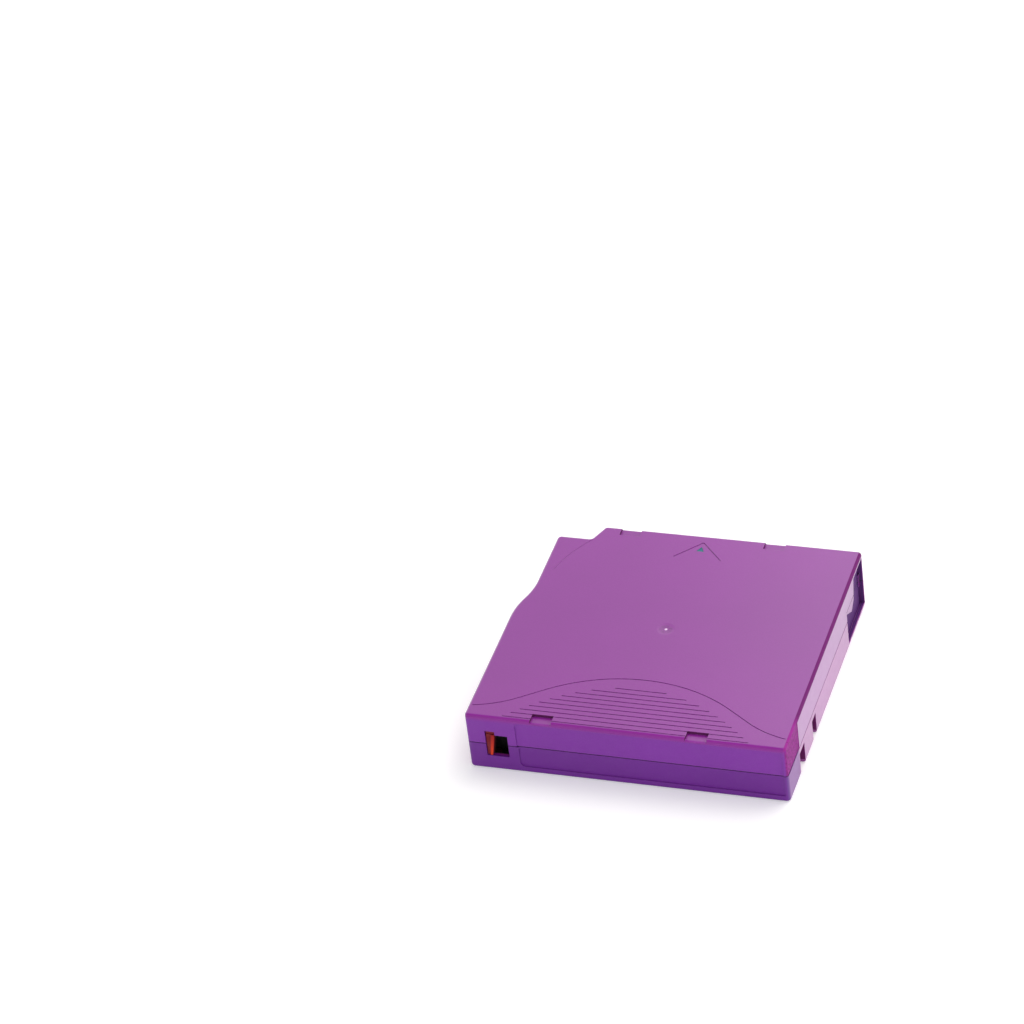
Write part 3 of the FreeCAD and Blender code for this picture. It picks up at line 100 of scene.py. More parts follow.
# Painted shade on the door's step and the walls round it.
DOORWAY_SHADE_COLOUR = (0.085, 0.014, 0.15)
SHADE_COLOUR = (0.006, 0.004, 0.005)
# Painted highlight on the gate mark's nub.
GATE_NUB_HIGHLIGHT_COLOUR = (0.85, 0.62, 0.88)

# Shares in which some zones take their colour or turn matt, and what matt and dull zones
# add to the roughness.
SEAM_SHARE = 0.8
CORNER_REFLECTION_SHARE = 0.7
CORNER_MATT = 0.6
FINGER_WALL_SHADE_SHARE = 0.8
MATT_ROUGHNESS = 0.2
DULL_ROUGHNESS = 0.25

# Fades at the borders of the zones. Each is two offsets in millimetres, from the face that
# its key or comment names: the mask is 0 at the first and 1 at the second.
LABEL_FADE = (1.1, 0.5)                     # rear
PATCH_FADES = {"right": (-0.9, -0.4), "rear": (14.7, 14.4), "parting": (-0.1, 0.1)}
CORNER_FADES = {"right": (-0.9, -0.4), "rear": (14.6, 13.0), "parting": (0.1, -0.1)}
SIDE_EDGE_FADE = (-1.0, -0.85)              # right side, and again the top
PATCH_EDGE_FADE = (17.0, 12.0)              # rear
LABEL_EDGE_FADES = {"rear": (1.2, 0.6), "top": (-2.2, -0.8)}
SEAM_FADES = [(-0.17, -0.13), (0.17, 0.13)]                  # parting
NOTCH_FADES = {"side": [(-1.85, -1.75), (-0.10, -0.16)],
               "base": [(0.9, 1.1), (8.3, 8.2)],
               "rear": [(13.8, 14.0), (35.0, 34.8)]}
FINGER_FADES = {"inner_wall": (-0.3, -0.1), "end": (-0.05, -0.15),
                "top": [(-0.98, -0.92), (-0.02, -0.06)]}
WALL_FADE = (0.10, 0.05)                    # the wall's plane
DOORWAY_FADES = {"face": [(-2.4, -2.2), (1.2, 1.1)], "step": (0.02, 0.05),
                 "door_rear": (1.0, 1.3), "door_front": (0.1, 0.0),
                 "base": (1.3, 1.45), "top": (-1.3, -1.45)}
SWITCH_FADES = {"plate": (1.0, 1.5), "depth": (5.0, 3.0), "right": (12.0, 10.0),
                "case_left": (1.5, 2.0), "base": (1.2, 1.6), "top": (-1.2, -1.6)}

# Finger notches in the top's front and rear edges: depth, and the left ends along X, in metres.
EDGE_NOTCH_DEPTH = 0.0039
EDGE_NOTCH_ENDS = (-0.0309, -0.0289, 0.0200, 0.0202)

# Gate mark on the top: its middle in metres, and fades in millimetres from it and from the top.
GATE_PLACE = (-0.0003, 0.0013)
GATE_RING_FADES = [(0.6, 0.9), (2.4, 1.8)]
GATE_NUB_HIGHLIGHT_FADE = (0.55, 0.35)
GATE_TOP_FADE = (-0.6, -0.3)

# Write-protect slider: 8-bit screen colours, of its plastic, of the painted shade behind the wall
# and of the painted highlight on its ridge, and in millimetres the fades from its rear face and
# the stretch of its ridge where the painted highlight brightens, from its foot and from its head.
SWITCH_RED = (124, 14, 30)
SWITCH_SHADE_RED = (52, 14, 16)
RIDGE_FOOT_HIGHLIGHT_RED = (150, 22, 26)
RIDGE_HEAD_HIGHLIGHT_RED = (206, 54, 26)
RIDGE_HIGHLIGHT_FADE = (0.30, 0.15)
BEHIND_SHADE_FADE = (1.0, 1.6)
RIDGE_FROM_FOOT = 6.0
RIDGE_FROM_HEAD = -3.0

# Noise: scales per metre, and how far to each side of 0.5 it is used, as its extremes are rare.
CASE_SWIRL, CASE_SPECK, CASE_MOTTLE = 14.0, 1900.0, 1100.0
CASE_DULLING, CASE_STIPPLE, CASE_GRAIN = 320.0, 1300.0, 2600.0
GATE_SPECK = 2400.0
INNER_SWIRL, INNER_DULLING, INNER_GRAIN = 35.0, 400.0, 2200.0
SWITCH_SWIRL = 300.0
PAINT_COVER = 1500.0
STEEL_FILM, STEEL_LINES = 120.0, 1400.0
TAPE_BANDS, TAPE_TURNS = 60.0, 2600.0
LEADER_CLOUDING = 90.0
CRISP, CLEAR, SOFT = 0.12, 0.15, 0.20
STIPPLE_HEIGHT = 8.0          # times the height of the grain

# Softened edges: radii in metres, and the normal's turn there, as a cosine.
CASE_WEAR, CASE_ROUND = 0.0002, 0.0001
INNER_WEAR, INNER_ROUND = 0.00015, 0.00008
STEEL_ROUND = 0.00006
EDGE_TURN = (0.99, 0.85)
EDGE_SAMPLES = 4

# Painted triangle in the loading arrow, in metres, and its linear colour.
INLAY_BASE_INSET = 0.0085
INLAY_WIDTH = 0.0027
INLAY_LENGTH = 0.0025
INLAY_SUNK = (0.00015, 0.00004)
INLAY_GAP = 0.00005
MARK_COLOUR = (0.02, 0.16, 0.20)

# Springs: number of the axis that each lies along, turns, and in metres the wire's radius,
# how far the joint presses the spring and a spare on top of that.
DOOR_SPRING = {"along": 1, "turns": 15, "wire": 0.0002, "pressed": 0.022, "rise": 0.0001}
BRAKE_SPRING = {"along": 2, "turns": 5, "wire": 0.00035, "pressed": 0.0015, "rise": 0.0}
COIL_STEPS = 28
WIRE_SIDES = 10

# Floor, in metres, with its colour and the glow that camera and gloss see.
FLOOR_SIZE = 6.0
FLOOR_GAP = 0.00005
FLOOR_COLOUR = (0.86, 0.86, 0.87, 1.0)
FLOOR_GLOW = 0.28

# Light: a bright horizon that fades towards the zenith, and soft square lamps.
SKY_COLOUR = (1.0, 1.0, 1.0, 1.0)
SKY_RISE = (0.45, 0.95)
HORIZON_LEVEL = 1.0
ZENITH_LEVEL = 0.25
LAMPS = {
    "key": {"place": (0.35, 0.45, 1.2), "size": 0.9, "power": 8.8, "colour": (1.0, 0.96, 0.92)},
    "fill": {"place": (0.9, -1.0, 0.8), "size": 0.8, "power": 2.0, "colour": (0.9, 0.94, 1.0)},
    "side": {"place": (1.3, 0.3, 0.5), "size": 0.8, "power": 2.0, "colour": (1.0, 0.94, 0.98)},
    "panel": {"place": (0.10, 0.37, 0.32), "size": 0.4, "power": 0.38,
              "colour": (1.0, 0.97, 0.95), "in_gloss": True},
}


def add_object(name, data):
    """A new object of the scene, with its data."""
    obj = bpy.data.objects.new(name, data)
    bpy.context.scene.collection.objects.link(obj)
    return obj


def add_mesh(name, points, faces, material):
    """A new object with a mesh of one material."""
    mesh = bpy.data.meshes.new(name)
    mesh.from_pydata(points, [], faces)
    mesh.materials.append(material)
    return add_object(name, mesh)


def camera():
    """Camera at the photograph's angle, rolled and moved aside in its own plane."""
    azimuth = math.radians(VIEW_AZIMUTH)
    elevation = math.radians(VIEW_ELEVATION)
    roll = math.radians(VIEW_ROLL)
    back = Vector((math.sin(azimuth) * math.cos(elevation),
                   -math.cos(azimuth) * math.cos(elevation), math.sin(elevation)))
    level_right = Vector((math.cos(azimuth), math.sin(azimuth), 0.0))
    level_up = back.cross(level_right)
    right = level_right * math.cos(roll) + level_up * math.sin(roll)
    up = level_up * math.cos(roll) - level_right * math.sin(roll)
    centre = (cad_low + cad_high) / 2
    place = centre + back * VIEW_DISTANCE + right * VIEW_ASIDE + up * VIEW_ABOVE
    data = bpy.data.cameras.new("camera")
    data.lens = LENS_MM
    data.sensor_width = SENSOR_MM
    data.clip_end = VIEW_END
    obj = add_object("camera", data)
    obj.matrix_world = Matrix((
        (right.x, up.x, back.x, place.x),
        (right.y, up.y, back.y, place.y),
        (right.z, up.z, back.z, place.z),
        (0.0, 0.0, 0.0, 1.0),
    ))
    bpy.context.scene.camera = obj


# --- Node helpers ---

class Nodes:
    """Adds and links the shader nodes of one material."""

    def __init__(self, name):
        self.material = bpy.data.materials.new(name)
        self.material.use_nodes = True
        self.tree = self.material.node_tree
        self.tree.nodes.clear()
        self.output = self.tree.nodes.new("ShaderNodeOutputMaterial")

    def add(self, kind, **settings):
        node = self.tree.nodes.new(kind)
        for name, value in settings.items():
            setattr(node, name, value)
        return node

    def link(self, source, target):
        self.tree.links.new(source, target)

    def place(self):
        """Position on the object, in metres."""
        return self.add("ShaderNodeTexCoord").outputs["Object"]

    def axis(self, name):
        """Position along one axis, in metres."""
        node = self.add("ShaderNodeSeparateXYZ")
        self.link(self.place(), node.inputs[0])
        return node.outputs[name]

    def aside(self, name):
        """Distance from the middle along one axis, the same on both sides."""
        return self.math("ABSOLUTE", self.axis(name), 0.0)

    def reach(self, x, y):
        """Distance in plan from a point on the object."""
        across = self.math("SUBTRACT", self.axis("X"), x)
        along = self.math("SUBTRACT", self.axis("Y"), y)
        square = self.math("ADD", self.times(across, across), self.times(along, along))
        return self.math("SQRT", square, 0.0)

    def noise(self, scale, detail=4.0, rough=0.55):
        node = self.add("ShaderNodeTexNoise")
        node.inputs["Scale"].default_value = scale
        node.inputs["Detail"].default_value = detail
        node.inputs["Roughness"].default_value = rough
        self.link(self.place(), node.inputs["Vector"])
        return node.outputs["Fac"]

    def rings(self, scale, distortion=0.0):
        """Fine rings round the object's upright axis."""
        node = self.add("ShaderNodeTexWave", wave_type="RINGS", rings_direction="Z")
        node.inputs["Scale"].default_value = scale
        node.inputs["Distortion"].default_value = distortion
        self.link(self.place(), node.inputs["Vector"])
        return node.outputs["Fac"]

    def span(self, value, low, high, to_low=0.0, to_high=1.0):
        """Maps the stretch from low to high onto another, and holds what lies beyond it."""
        node = self.add("ShaderNodeMapRange", clamp=True)
        node.inputs["From Min"].default_value = low
        node.inputs["From Max"].default_value = high
        node.inputs["To Min"].default_value = to_low
        node.inputs["To Max"].default_value = to_high
        self.link(value, node.inputs["Value"])
        return node.outputs["Result"]

    def spread(self, noise, half, to_low=0.0, to_high=1.0):
        """Maps the middle of a noise, half to each side of 0.5, onto a stretch."""
        return self.span(noise, 0.5 - half, 0.5 + half, to_low, to_high)

    def fade(self, value, level, offsets):
        """Mask that is 0 at the first offset from the level and 1 at the second."""
        start, end = offsets
        return self.span(value, level + start * MILLIMETRE, level + end * MILLIMETRE)

    def band(self, value, level, both_offsets):
        """Mask between two fades from the same level."""
        return self.times(*(self.fade(value, level, offsets) for offsets in both_offsets))

    def math(self, operation, first, second):
        node = self.add("ShaderNodeMath", operation=operation)
        for socket, value in zip(node.inputs, (first, second)):
            if isinstance(value, (int, float)):
                socket.default_value = value
            else:
                self.link(value, socket)
        return node.outputs[0]

    def times(self, first, *others):
        """Product of the values; for masks, where all of them are."""
        for other in others:
            first = self.math("MULTIPLY", first, other)
        return first

    def most(self, first, *others):
        """Largest of the values; for masks, where any of them is."""
        for other in others:
            first = self.math("MAXIMUM", first, other)
        return first

    def mix(self, share, first, second):
        """First colour where the share is 0, second where it is 1."""
        node = self.add("ShaderNodeMix", data_type="RGBA")
        self.link(share, node.inputs["Factor"])
        for name, value in (("A", first), ("B", second)):
            socket = [s for s in node.inputs if s.name == name and s.type == "RGBA"][0]
            if isinstance(value, tuple):
                socket.default_value = (*value, 1.0)
            else:
                self.link(value, socket)
        return [s for s in node.outputs if s.type == "RGBA"][0]

    def shade(self, colour, level):
        """The colour with its brightness times the level."""
        node = self.add("ShaderNodeVectorMath", operation="SCALE")
        self.link(colour, node.inputs[0])
        self.link(level, node.inputs["Scale"])
        return node.outputs[0]

    def bump(self, height, distance, strength, under=None):
        node = self.add("ShaderNodeBump")
        node.inputs["Distance"].default_value = distance
        node.inputs["Strength"].default_value = strength
        self.link(height, node.inputs["Height"])
        if under:
            self.link(under, node.inputs["Normal"])
        return node.outputs["Normal"]

    def soft_edges(self, radius):
        """Normal that is rounded at edges."""
        node = self.add("ShaderNodeBevel", samples=EDGE_SAMPLES)
        node.inputs["Radius"].default_value = radius
        return node.outputs["Normal"]

    def edge_mask(self, radius):
        """1 on edges within the radius, 0 on flat stretches."""
        rounded = self.soft_edges(radius)
        flat = self.add("ShaderNodeNewGeometry").outputs["Normal"]
        dot = self.add("ShaderNodeVectorMath", operation="DOT_PRODUCT")
        self.link(rounded, dot.inputs[0])
        self.link(flat, dot.inputs[1])
        return self.span(dot.outputs["Value"], *EDGE_TURN)


def srgb(red, green, blue):
    """Linear colour from an 8-bit screen colour, by the sRGB curve."""
    def linear(level):
        share = level / 255.0
        return share / 12.92 if share <= 0.04045 else ((share + 0.055) / 1.055) ** 2.4
    return (linear(red), linear(green), linear(blue))


def lighter(colour, share):
    return tuple(c + (1.0 - c) * share for c in colour)


def darker(colour, share):
    return tuple(c * (1.0 - share) for c in colour)


def principled(nodes, **constants):
    """Main shader of a material, with the values that are the same all over."""
    shader = nodes.add("ShaderNodeBsdfPrincipled")
    for name, value in constants.items():
        shader.inputs[name.replace("_", " ")].default_value = value
    nodes.link(shader.outputs[0], nodes.output.inputs["Surface"])
    return shader


def finished(nodes, shader, tone, rough, normal):
    """The material, with its colour, roughness and normal linked to the shader."""
    nodes.link(tone, shader.inputs["Base Color"])
    nodes.link(rough, shader.inputs["Roughness"])
    nodes.link(normal, shader.inputs["Normal"])
    return nodes.material


# --- Case plastic ---

def case_plastic(name, colour, label_shade_colour):
    """Glossy moulded plastic with a fine grain and soft edges.

    Its zones are matt or tinted, and by their place on the object carry painted shade, painted
    reflections and a painted highlight.
    """
    nodes = Nodes(name)
    shader = principled(nodes, IOR=1.5, Coat_IOR=1.5, Coat_Roughness=0.3)
    zones = case_zones(nodes)
    nodes.link(nodes.math("SUBTRACT", 1.0, zones["matt"]), shader.inputs["Coat Weight"])
    return finished(nodes, shader, case_tone(nodes, zones, colour, label_shade_colour),
                    case_rough(nodes, zones), case_grain(nodes, zones))


def case_zones(nodes):
    """Masks of the zones, and of all that is dull or matt."""
    zones = {
        "label": label_zone(nodes),
        "patch": patch_zone(nodes),
        "side_edge": side_edge_reflection_zone(nodes),
        "label_edge": label_edge_reflection_zone(nodes),
        "corner": corner_reflection_zone(nodes),
        "doorway": doorway_shade_zone(nodes),
        "finger_walls": finger_wall_shade_zone(nodes),
        "shade": nodes.most(switch_shade_zone(nodes), seam_zone(nodes)),
    }
    zones["notch"] = nodes.most(notch_shade_zone(nodes), zones["finger_walls"])
    zones["dull"] = nodes.most(zones["patch"], zones["side_edge"], zones["shade"],
                               zones["notch"], zones["doorway"])
    zones["matt"] = nodes.most(zones["label"], zones["dull"],
                               nodes.times(zones["corner"], CORNER_MATT))
    return zones


def case_tone(nodes, zones, colour, label_shade_colour):
    """Colour with a faint swirl and specks, the finger patch's tone, and the painted shade,
    painted reflections and painted highlight of the other zones.
    """
    mottle = nodes.spread(nodes.noise(CASE_MOTTLE, detail=2.0), CRISP)
    swirl = nodes.spread(nodes.noise(CASE_SWIRL, detail=3.0), CLEAR, 0.94, 1.03)
    speck = nodes.spread(nodes.noise(CASE_SPECK, detail=2.0), SOFT, 1.02, 0.94)
    worn = nodes.times(nodes.edge_mask(CASE_WEAR), 0.15)
    near_patch = nodes.fade(nodes.axis("Y"), cad_low.y, PATCH_EDGE_FADE)
    # The label end takes a darker copy of the colour, as painted shade.
    tone = nodes.mix(zones["label"], colour, label_shade_colour)
    tone = nodes.mix(zones["patch"], tone, nodes.mix(mottle, PATCH_COLOUR, PATCH_LIGHT_COLOUR))
    # Painted reflection on the rounded edge between the top and the label end.
    tone = nodes.mix(zones["label_edge"], tone, LABEL_EDGE_REFLECTION_COLOUR)
    # Painted violet reflection on the right side below the finger patch.
    tone = nodes.mix(nodes.times(zones["corner"], CORNER_REFLECTION_SHARE), tone, CORNER_REFLECTION_COLOUR)
    # Painted shade on the door's step and the walls round it.
    tone = nodes.mix(zones["doorway"], tone, DOORWAY_SHADE_COLOUR)
    tone = nodes.shade(nodes.shade(tone, swirl), speck)
    tone = nodes.mix(worn, tone, lighter(colour, 0.25))
    # Painted dark reflection on the top's rounded right edge, paler and pinker near the finger
    # patch.
    tone = nodes.mix(zones["side_edge"], tone,
                     nodes.mix(near_patch, SIDE_EDGE_REFLECTION_COLOUR, PATCH_EDGE_REFLECTION_COLOUR))
    # Painted shade on the walls of the picker notches and the finger notches.
    tone = nodes.mix(zones["notch"], tone, NOTCH_SHADE_COLOUR)
    # Darker painted shade on the walls of the finger notches.
    tone = nodes.mix(nodes.times(zones["finger_walls"], FINGER_WALL_SHADE_SHARE), tone,
                     FINGER_WALL_SHADE_COLOUR)
    tone = nodes.mix(zones["shade"], tone, SHADE_COLOUR)
    return gate_mark(nodes, tone)


def case_rough(nodes, zones):
    """Roughness: uneven gloss, and more in the matt and the dull zones."""
    rough = nodes.spread(nodes.noise(CASE_DULLING, detail=5.0), SOFT, 0.29, 0.36)
    rough = nodes.math("ADD", rough, nodes.times(zones["matt"], MATT_ROUGHNESS))
    return nodes.math("ADD", rough, nodes.times(zones["dull"], DULL_ROUGHNESS))


def case_grain(nodes, zones):
    """Normal: fine grain over soft edges, and the stipple of the finger patch."""
    stipple = nodes.times(zones["patch"], nodes.noise(CASE_STIPPLE, detail=1.0, rough=0.3),
                          STIPPLE_HEIGHT)
    height = nodes.math("ADD", nodes.noise(CASE_GRAIN, detail=2.0), stipple)
    return nodes.bump(height, 0.006 * MILLIMETRE, 0.5, nodes.soft_edges(CASE_ROUND))


def gate_mark(nodes, tone):
    """Darkens the dish of the gate mark, and paints a highlight on the nub in its middle."""
    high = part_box("upper_shell")[1]
    top = nodes.fade(nodes.axis("Z"), high.z, GATE_TOP_FADE)
    reach = nodes.reach(*GATE_PLACE)
    specks = nodes.spread(nodes.noise(GATE_SPECK, detail=1.0), CLEAR, 0.1, 0.9)
    dish = nodes.times(nodes.band(reach, 0.0, GATE_RING_FADES), specks, top)
    # Painted highlight on the nub.
    nub = nodes.times(nodes.fade(reach, 0.0, GATE_NUB_HIGHLIGHT_FADE), top)
    return nodes.mix(nub, nodes.mix(dish, tone, darker(CASE_COLOUR, 0.35)), GATE_NUB_HIGHLIGHT_COLOUR)


# --- Zones of the case ---

def label_zone(nodes):
    """Mask of the label end, up to its rounded edges; it is matt, and its colour there is painted
    shade.
    """
    return nodes.fade(nodes.axis("Y"), cad_low.y, LABEL_FADE)


def right_rear_zone(nodes, fades):
    """Mask at the rear of the right side, above or below the parting of the shells."""
    low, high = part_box("upper_shell")
    return nodes.times(nodes.fade(nodes.axis("X"), high.x, fades["right"]),
                       nodes.fade(nodes.axis("Y"), low.y, fades["rear"]),
                       nodes.fade(nodes.axis("Z"), low.z, fades["parting"]))


def patch_zone(nodes):
    """Mask of the stippled finger patch at the label end of the right side."""
    return right_rear_zone(nodes, PATCH_FADES)


def corner_reflection_zone(nodes):
    """Mask of the right side below the finger patch, which takes a painted violet reflection."""
    return right_rear_zone(nodes, CORNER_FADES)


def side_edge_reflection_zone(nodes):
    """Mask of the painted dark reflection on the rounded edge along the right side of the top."""
    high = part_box("upper_shell")[1]
    return nodes.times(nodes.fade(nodes.axis("X"), high.x, SIDE_EDGE_FADE),
                       nodes.fade(nodes.axis("Z"), high.z, SIDE_EDGE_FADE))


def label_edge_reflection_zone(nodes):
    """Mask of the painted reflection on the rounded edge between the top and the label end."""
    low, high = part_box("upper_shell")
    return nodes.times(nodes.fade(nodes.axis("Y"), low.y, LABEL_EDGE_FADES["rear"]),
                       nodes.fade(nodes.axis("Z"), high.z, LABEL_EDGE_FADES["top"]))


def seam_zone(nodes):
    """Mask of the painted shade in the shadow groove between the shells."""
    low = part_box("upper_shell")[0]
    return nodes.times(nodes.band(nodes.axis("Z"), low.z, SEAM_FADES), SEAM_SHARE)


def notch_shade_zone(nodes):
    """Mask of the painted shade on the walls of the picker notches in both sides."""
    return nodes.times(nodes.band(nodes.aside("X"), cad_high.x, NOTCH_FADES["side"]),
                       nodes.band(nodes.axis("Z"), cad_low.z, NOTCH_FADES["base"]),
                       nodes.band(nodes.axis("Y"), cad_low.y, NOTCH_FADES["rear"]))


def finger_wall_shade_zone(nodes):
    """Mask of the painted shade on the upright walls of the finger notches in the top's edges.

    The walls' planes aren't cut off at the notches, so they also leave short thin lines of
    painted shade where they cross the rounded edges beside them.
    """
    along = nodes.aside("Y")
    inner = cad_high.y - EDGE_NOTCH_DEPTH
    walls = nodes.most(plane_zone(nodes, along, inner),
                       *(plane_zone(nodes, nodes.axis("X"), end) for end in EDGE_NOTCH_ENDS))
    return nodes.times(walls,
                       nodes.fade(along, inner, FINGER_FADES["inner_wall"]),
                       nodes.fade(along, cad_high.y, FINGER_FADES["end"]),
                       nodes.band(nodes.axis("Z"), cad_high.z, FINGER_FADES["top"]))


def plane_zone(nodes, value, level):
    """Mask of the points whose coordinate is at a level."""
    return nodes.fade(off_level(nodes, value, level), 0.0, WALL_FADE)


def off_level(nodes, value, level):
    """Distance of a coordinate from a level."""
    return nodes.math("ABSOLUTE", nodes.math("SUBTRACT", value, level), 0.0)


def doorway_shade_zone(nodes):
    """Mask of the painted shade on the stepped part of the door and on the walls round it."""
    low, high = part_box("door")
    fades = DOORWAY_FADES
    return nodes.times(nodes.band(nodes.axis("X"), high.x, fades["face"]),
                       nodes.fade(nodes.axis("Y"), low.y, fades["door_rear"]),
                       nodes.fade(nodes.axis("Y"), high.y, fades["door_front"]),
                       nodes.fade(nodes.axis("Z"), cad_low.z, fades["base"]),
                       nodes.fade(nodes.axis("Z"), cad_high.z, fades["top"]),
                       nodes.fade(off_level(nodes, nodes.axis("X"), high.x), 0.0, fades["step"]))


def switch_shade_zone(nodes):
    """Mask of the painted shade in the compartment behind the write-protect window."""
    low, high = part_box("write_protect_switch")
    fades = SWITCH_FADES
    return nodes.times(nodes.fade(nodes.axis("Y"), low.y, fades["plate"]),
                       nodes.fade(nodes.axis("Y"), high.y, fades["depth"]),
                       nodes.fade(nodes.axis("X"), high.x, fades["right"]),
                       nodes.fade(nodes.axis("X"), cad_low.x, fades["case_left"]),
                       nodes.fade(nodes.axis("Z"), cad_low.z, fades["base"]),
                       nodes.fade(nodes.axis("Z"), cad_high.z, fades["top"]))


# --- Other finishes ---

def inner_grain(nodes):
    """Normal of the inner plastics: fine grain over soft edges."""
    return nodes.bump(nodes.noise(INNER_GRAIN, detail=2.0), 0.01 * MILLIMETRE, 0.5,
                      nodes.soft_edges(INNER_ROUND))


def plain_plastic(name, colour, rough=0.42):
    """Inner moulded plastic with a fine grain and a little unevenness of tone."""
    nodes = Nodes(name)
    shader = principled(nodes, IOR=1.48)
    swirl = nodes.spread(nodes.noise(INNER_SWIRL, detail=3.0), CLEAR)
    tone = nodes.mix(swirl, darker(colour, 0.06), lighter(colour, 0.04))
    tone = nodes.mix(nodes.times(nodes.edge_mask(INNER_WEAR), 0.3), tone, lighter(colour, 0.35))
    dulling = nodes.spread(nodes.noise(INNER_DULLING), SOFT, rough - 0.06, rough + 0.08)
    return finished(nodes, shader, tone, dulling, inner_grain(nodes))


def switch_plastic(name):
    """Deep red plastic of the write-protect slider, with a painted highlight along its ridge and
    painted shade on its part behind the wall.
    """
    nodes = Nodes(name)
    shader = principled(nodes, IOR=1.32)
    low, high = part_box("write_protect_switch")
    red = srgb(*SWITCH_RED)
    swirl = nodes.spread(nodes.noise(SWITCH_SWIRL, detail=3.0), CLEAR)
    ridge = nodes.fade(nodes.axis("Y"), low.y, RIDGE_HIGHLIGHT_FADE)
    height = nodes.span(nodes.axis("Z"), low.z + RIDGE_FROM_FOOT * MILLIMETRE,
                        high.z + RIDGE_FROM_HEAD * MILLIMETRE)
    behind = nodes.fade(nodes.axis("Y"), low.y, BEHIND_SHADE_FADE)
    tone = nodes.mix(swirl, darker(red, 0.15), lighter(red, 0.02))
    # Painted highlight along the ridge.
    tone = nodes.mix(ridge, tone, nodes.mix(height, srgb(*RIDGE_HEAD_HIGHLIGHT_RED), srgb(*RIDGE_FOOT_HIGHLIGHT_RED)))
    # Painted shade on the part of the slider behind the wall.
    tone = nodes.mix(behind, tone, srgb(*SWITCH_SHADE_RED))
    dulling = nodes.spread(nodes.noise(INNER_DULLING), SOFT, 0.58, 0.72)
    return finished(nodes, shader, tone, dulling, inner_grain(nodes))


def painted_mark(name):
    """Matt teal paint with a slightly uneven cover."""
    nodes = Nodes(name)
    shader = principled(nodes, IOR=1.4)
    cover = nodes.spread(nodes.noise(PAINT_COVER, detail=3.0), SOFT)
    tone = nodes.mix(cover, darker(MARK_COLOUR, 0.2), lighter(MARK_COLOUR, 0.04))
    return finished(nodes, shader, tone, nodes.span(cover, 0.0, 1.0, 0.5, 0.7),
                    nodes.bump(cover, 0.005 * MILLIMETRE, 0.5))


def steel(name, colour, rough=0.28):
    """Bare or plated steel with fine machining lines and a duller film in places."""
    nodes = Nodes(name)
    shader = principled(nodes, Metallic=1.0)
    film = nodes.noise(STEEL_FILM, detail=5.0)
    tone = nodes.mix(nodes.span(film, 0.35, 0.7), colour, darker(colour, 0.22))
    normal = nodes.bump(nodes.rings(STEEL_LINES, distortion=1.5), 0.004 * MILLIMETRE, 0.4,
                        nodes.soft_edges(STEEL_ROUND))
    return finished(nodes, shader, tone, nodes.spread(film, SOFT, rough - 0.07, rough + 0.12),
                    normal)


def leader_film(name):
    """Dark coated film seen on its face: glossy, with faint clouding."""
    nodes = Nodes(name)
    shader = principled(nodes, Coat_Weight=0.4)
    colour = srgb(40, 35, 34)
    clouding = nodes.spread(nodes.noise(LEADER_CLOUDING, detail=3.0), CLEAR)
    tone = nodes.mix(clouding, darker(colour, 0.12), lighter(colour, 0.03))
    return finished(nodes, shader, tone, nodes.span(clouding, 0.0, 1.0, 0.2, 0.3),
                    nodes.bump(clouding, 0.004 * MILLIMETRE, 0.4))


def tape_film(name):
    """Wound tape: dark coated film with its fine turns on the edge."""
    nodes = Nodes(name)
    shader = principled(nodes, Coat_Weight=0.3)
    colour = srgb(44, 38, 36)
    turns = nodes.rings(TAPE_TURNS)
    bands = nodes.noise(TAPE_BANDS, detail=2.0)
    tone = nodes.mix(turns, darker(colour, 0.25), lighter(colour, 0.05))
    tone = nodes.mix(nodes.span(bands, 0.4, 0.6, 0.0, 0.4), tone, lighter(colour, 0.08))
    return finished(nodes, shader, tone, nodes.spread(bands, SOFT, 0.22, 0.34),
                    nodes.bump(turns, 0.01 * MILLIMETRE, 0.5))


def floor_finish():
    """Pale matt floor that glows a little for the camera and in gloss, and keeps its shadow."""
    nodes = Nodes("floor")
    diffuse = nodes.add("ShaderNodeBsdfDiffuse")
    diffuse.inputs["Color"].default_value = FLOOR_COLOUR
    glow = nodes.add("ShaderNodeEmission")
    glow.inputs["Strength"].default_value = FLOOR_GLOW
    black = nodes.add("ShaderNodeEmission")
    black.inputs["Strength"].default_value = 0.0
    path = nodes.add("ShaderNodeLightPath")
    seen = nodes.most(path.outputs["Is Camera Ray"], path.outputs["Is Glossy Ray"])
    pick = nodes.add("ShaderNodeMixShader")
    nodes.link(seen, pick.inputs["Fac"])
    nodes.link(black.outputs[0], pick.inputs[1])
    nodes.link(glow.outputs[0], pick.inputs[2])
    total = nodes.add("ShaderNodeAddShader")
    nodes.link(diffuse.outputs[0], total.inputs[0])
    nodes.link(pick.outputs[0], total.inputs[1])
    nodes.link(total.outputs[0], nodes.output.inputs["Surface"])
    return nodes.material


# --- Added pieces ---

def arrow_inlay():
    """Thin painted triangle in the recess of the loading arrow."""
    low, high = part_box("upper_shell")
    base = high.y - INLAY_BASE_INSET
    middle = (low.x + high.x) / 2
    gap = INLAY_GAP
    corners = [(middle - INLAY_WIDTH / 2 + 2 * gap, base + gap),
               (middle + INLAY_WIDTH / 2 - 2 * gap, base + gap),
               (middle, base + INLAY_LENGTH - 2 * gap)]
    bottom, top = (high.z - sunk for sunk in INLAY_SUNK)
    points = [(x, y, z) for z in (bottom, top) for x, y in corners]
    faces = [(2, 1, 0), (3, 4, 5), (0, 1, 4, 3), (1, 2, 5, 4), (2, 0, 3, 5)]
    obj = add_mesh("arrow_inlay", points, faces, painted_mark("arrow_paint"))
    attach(obj, "case")


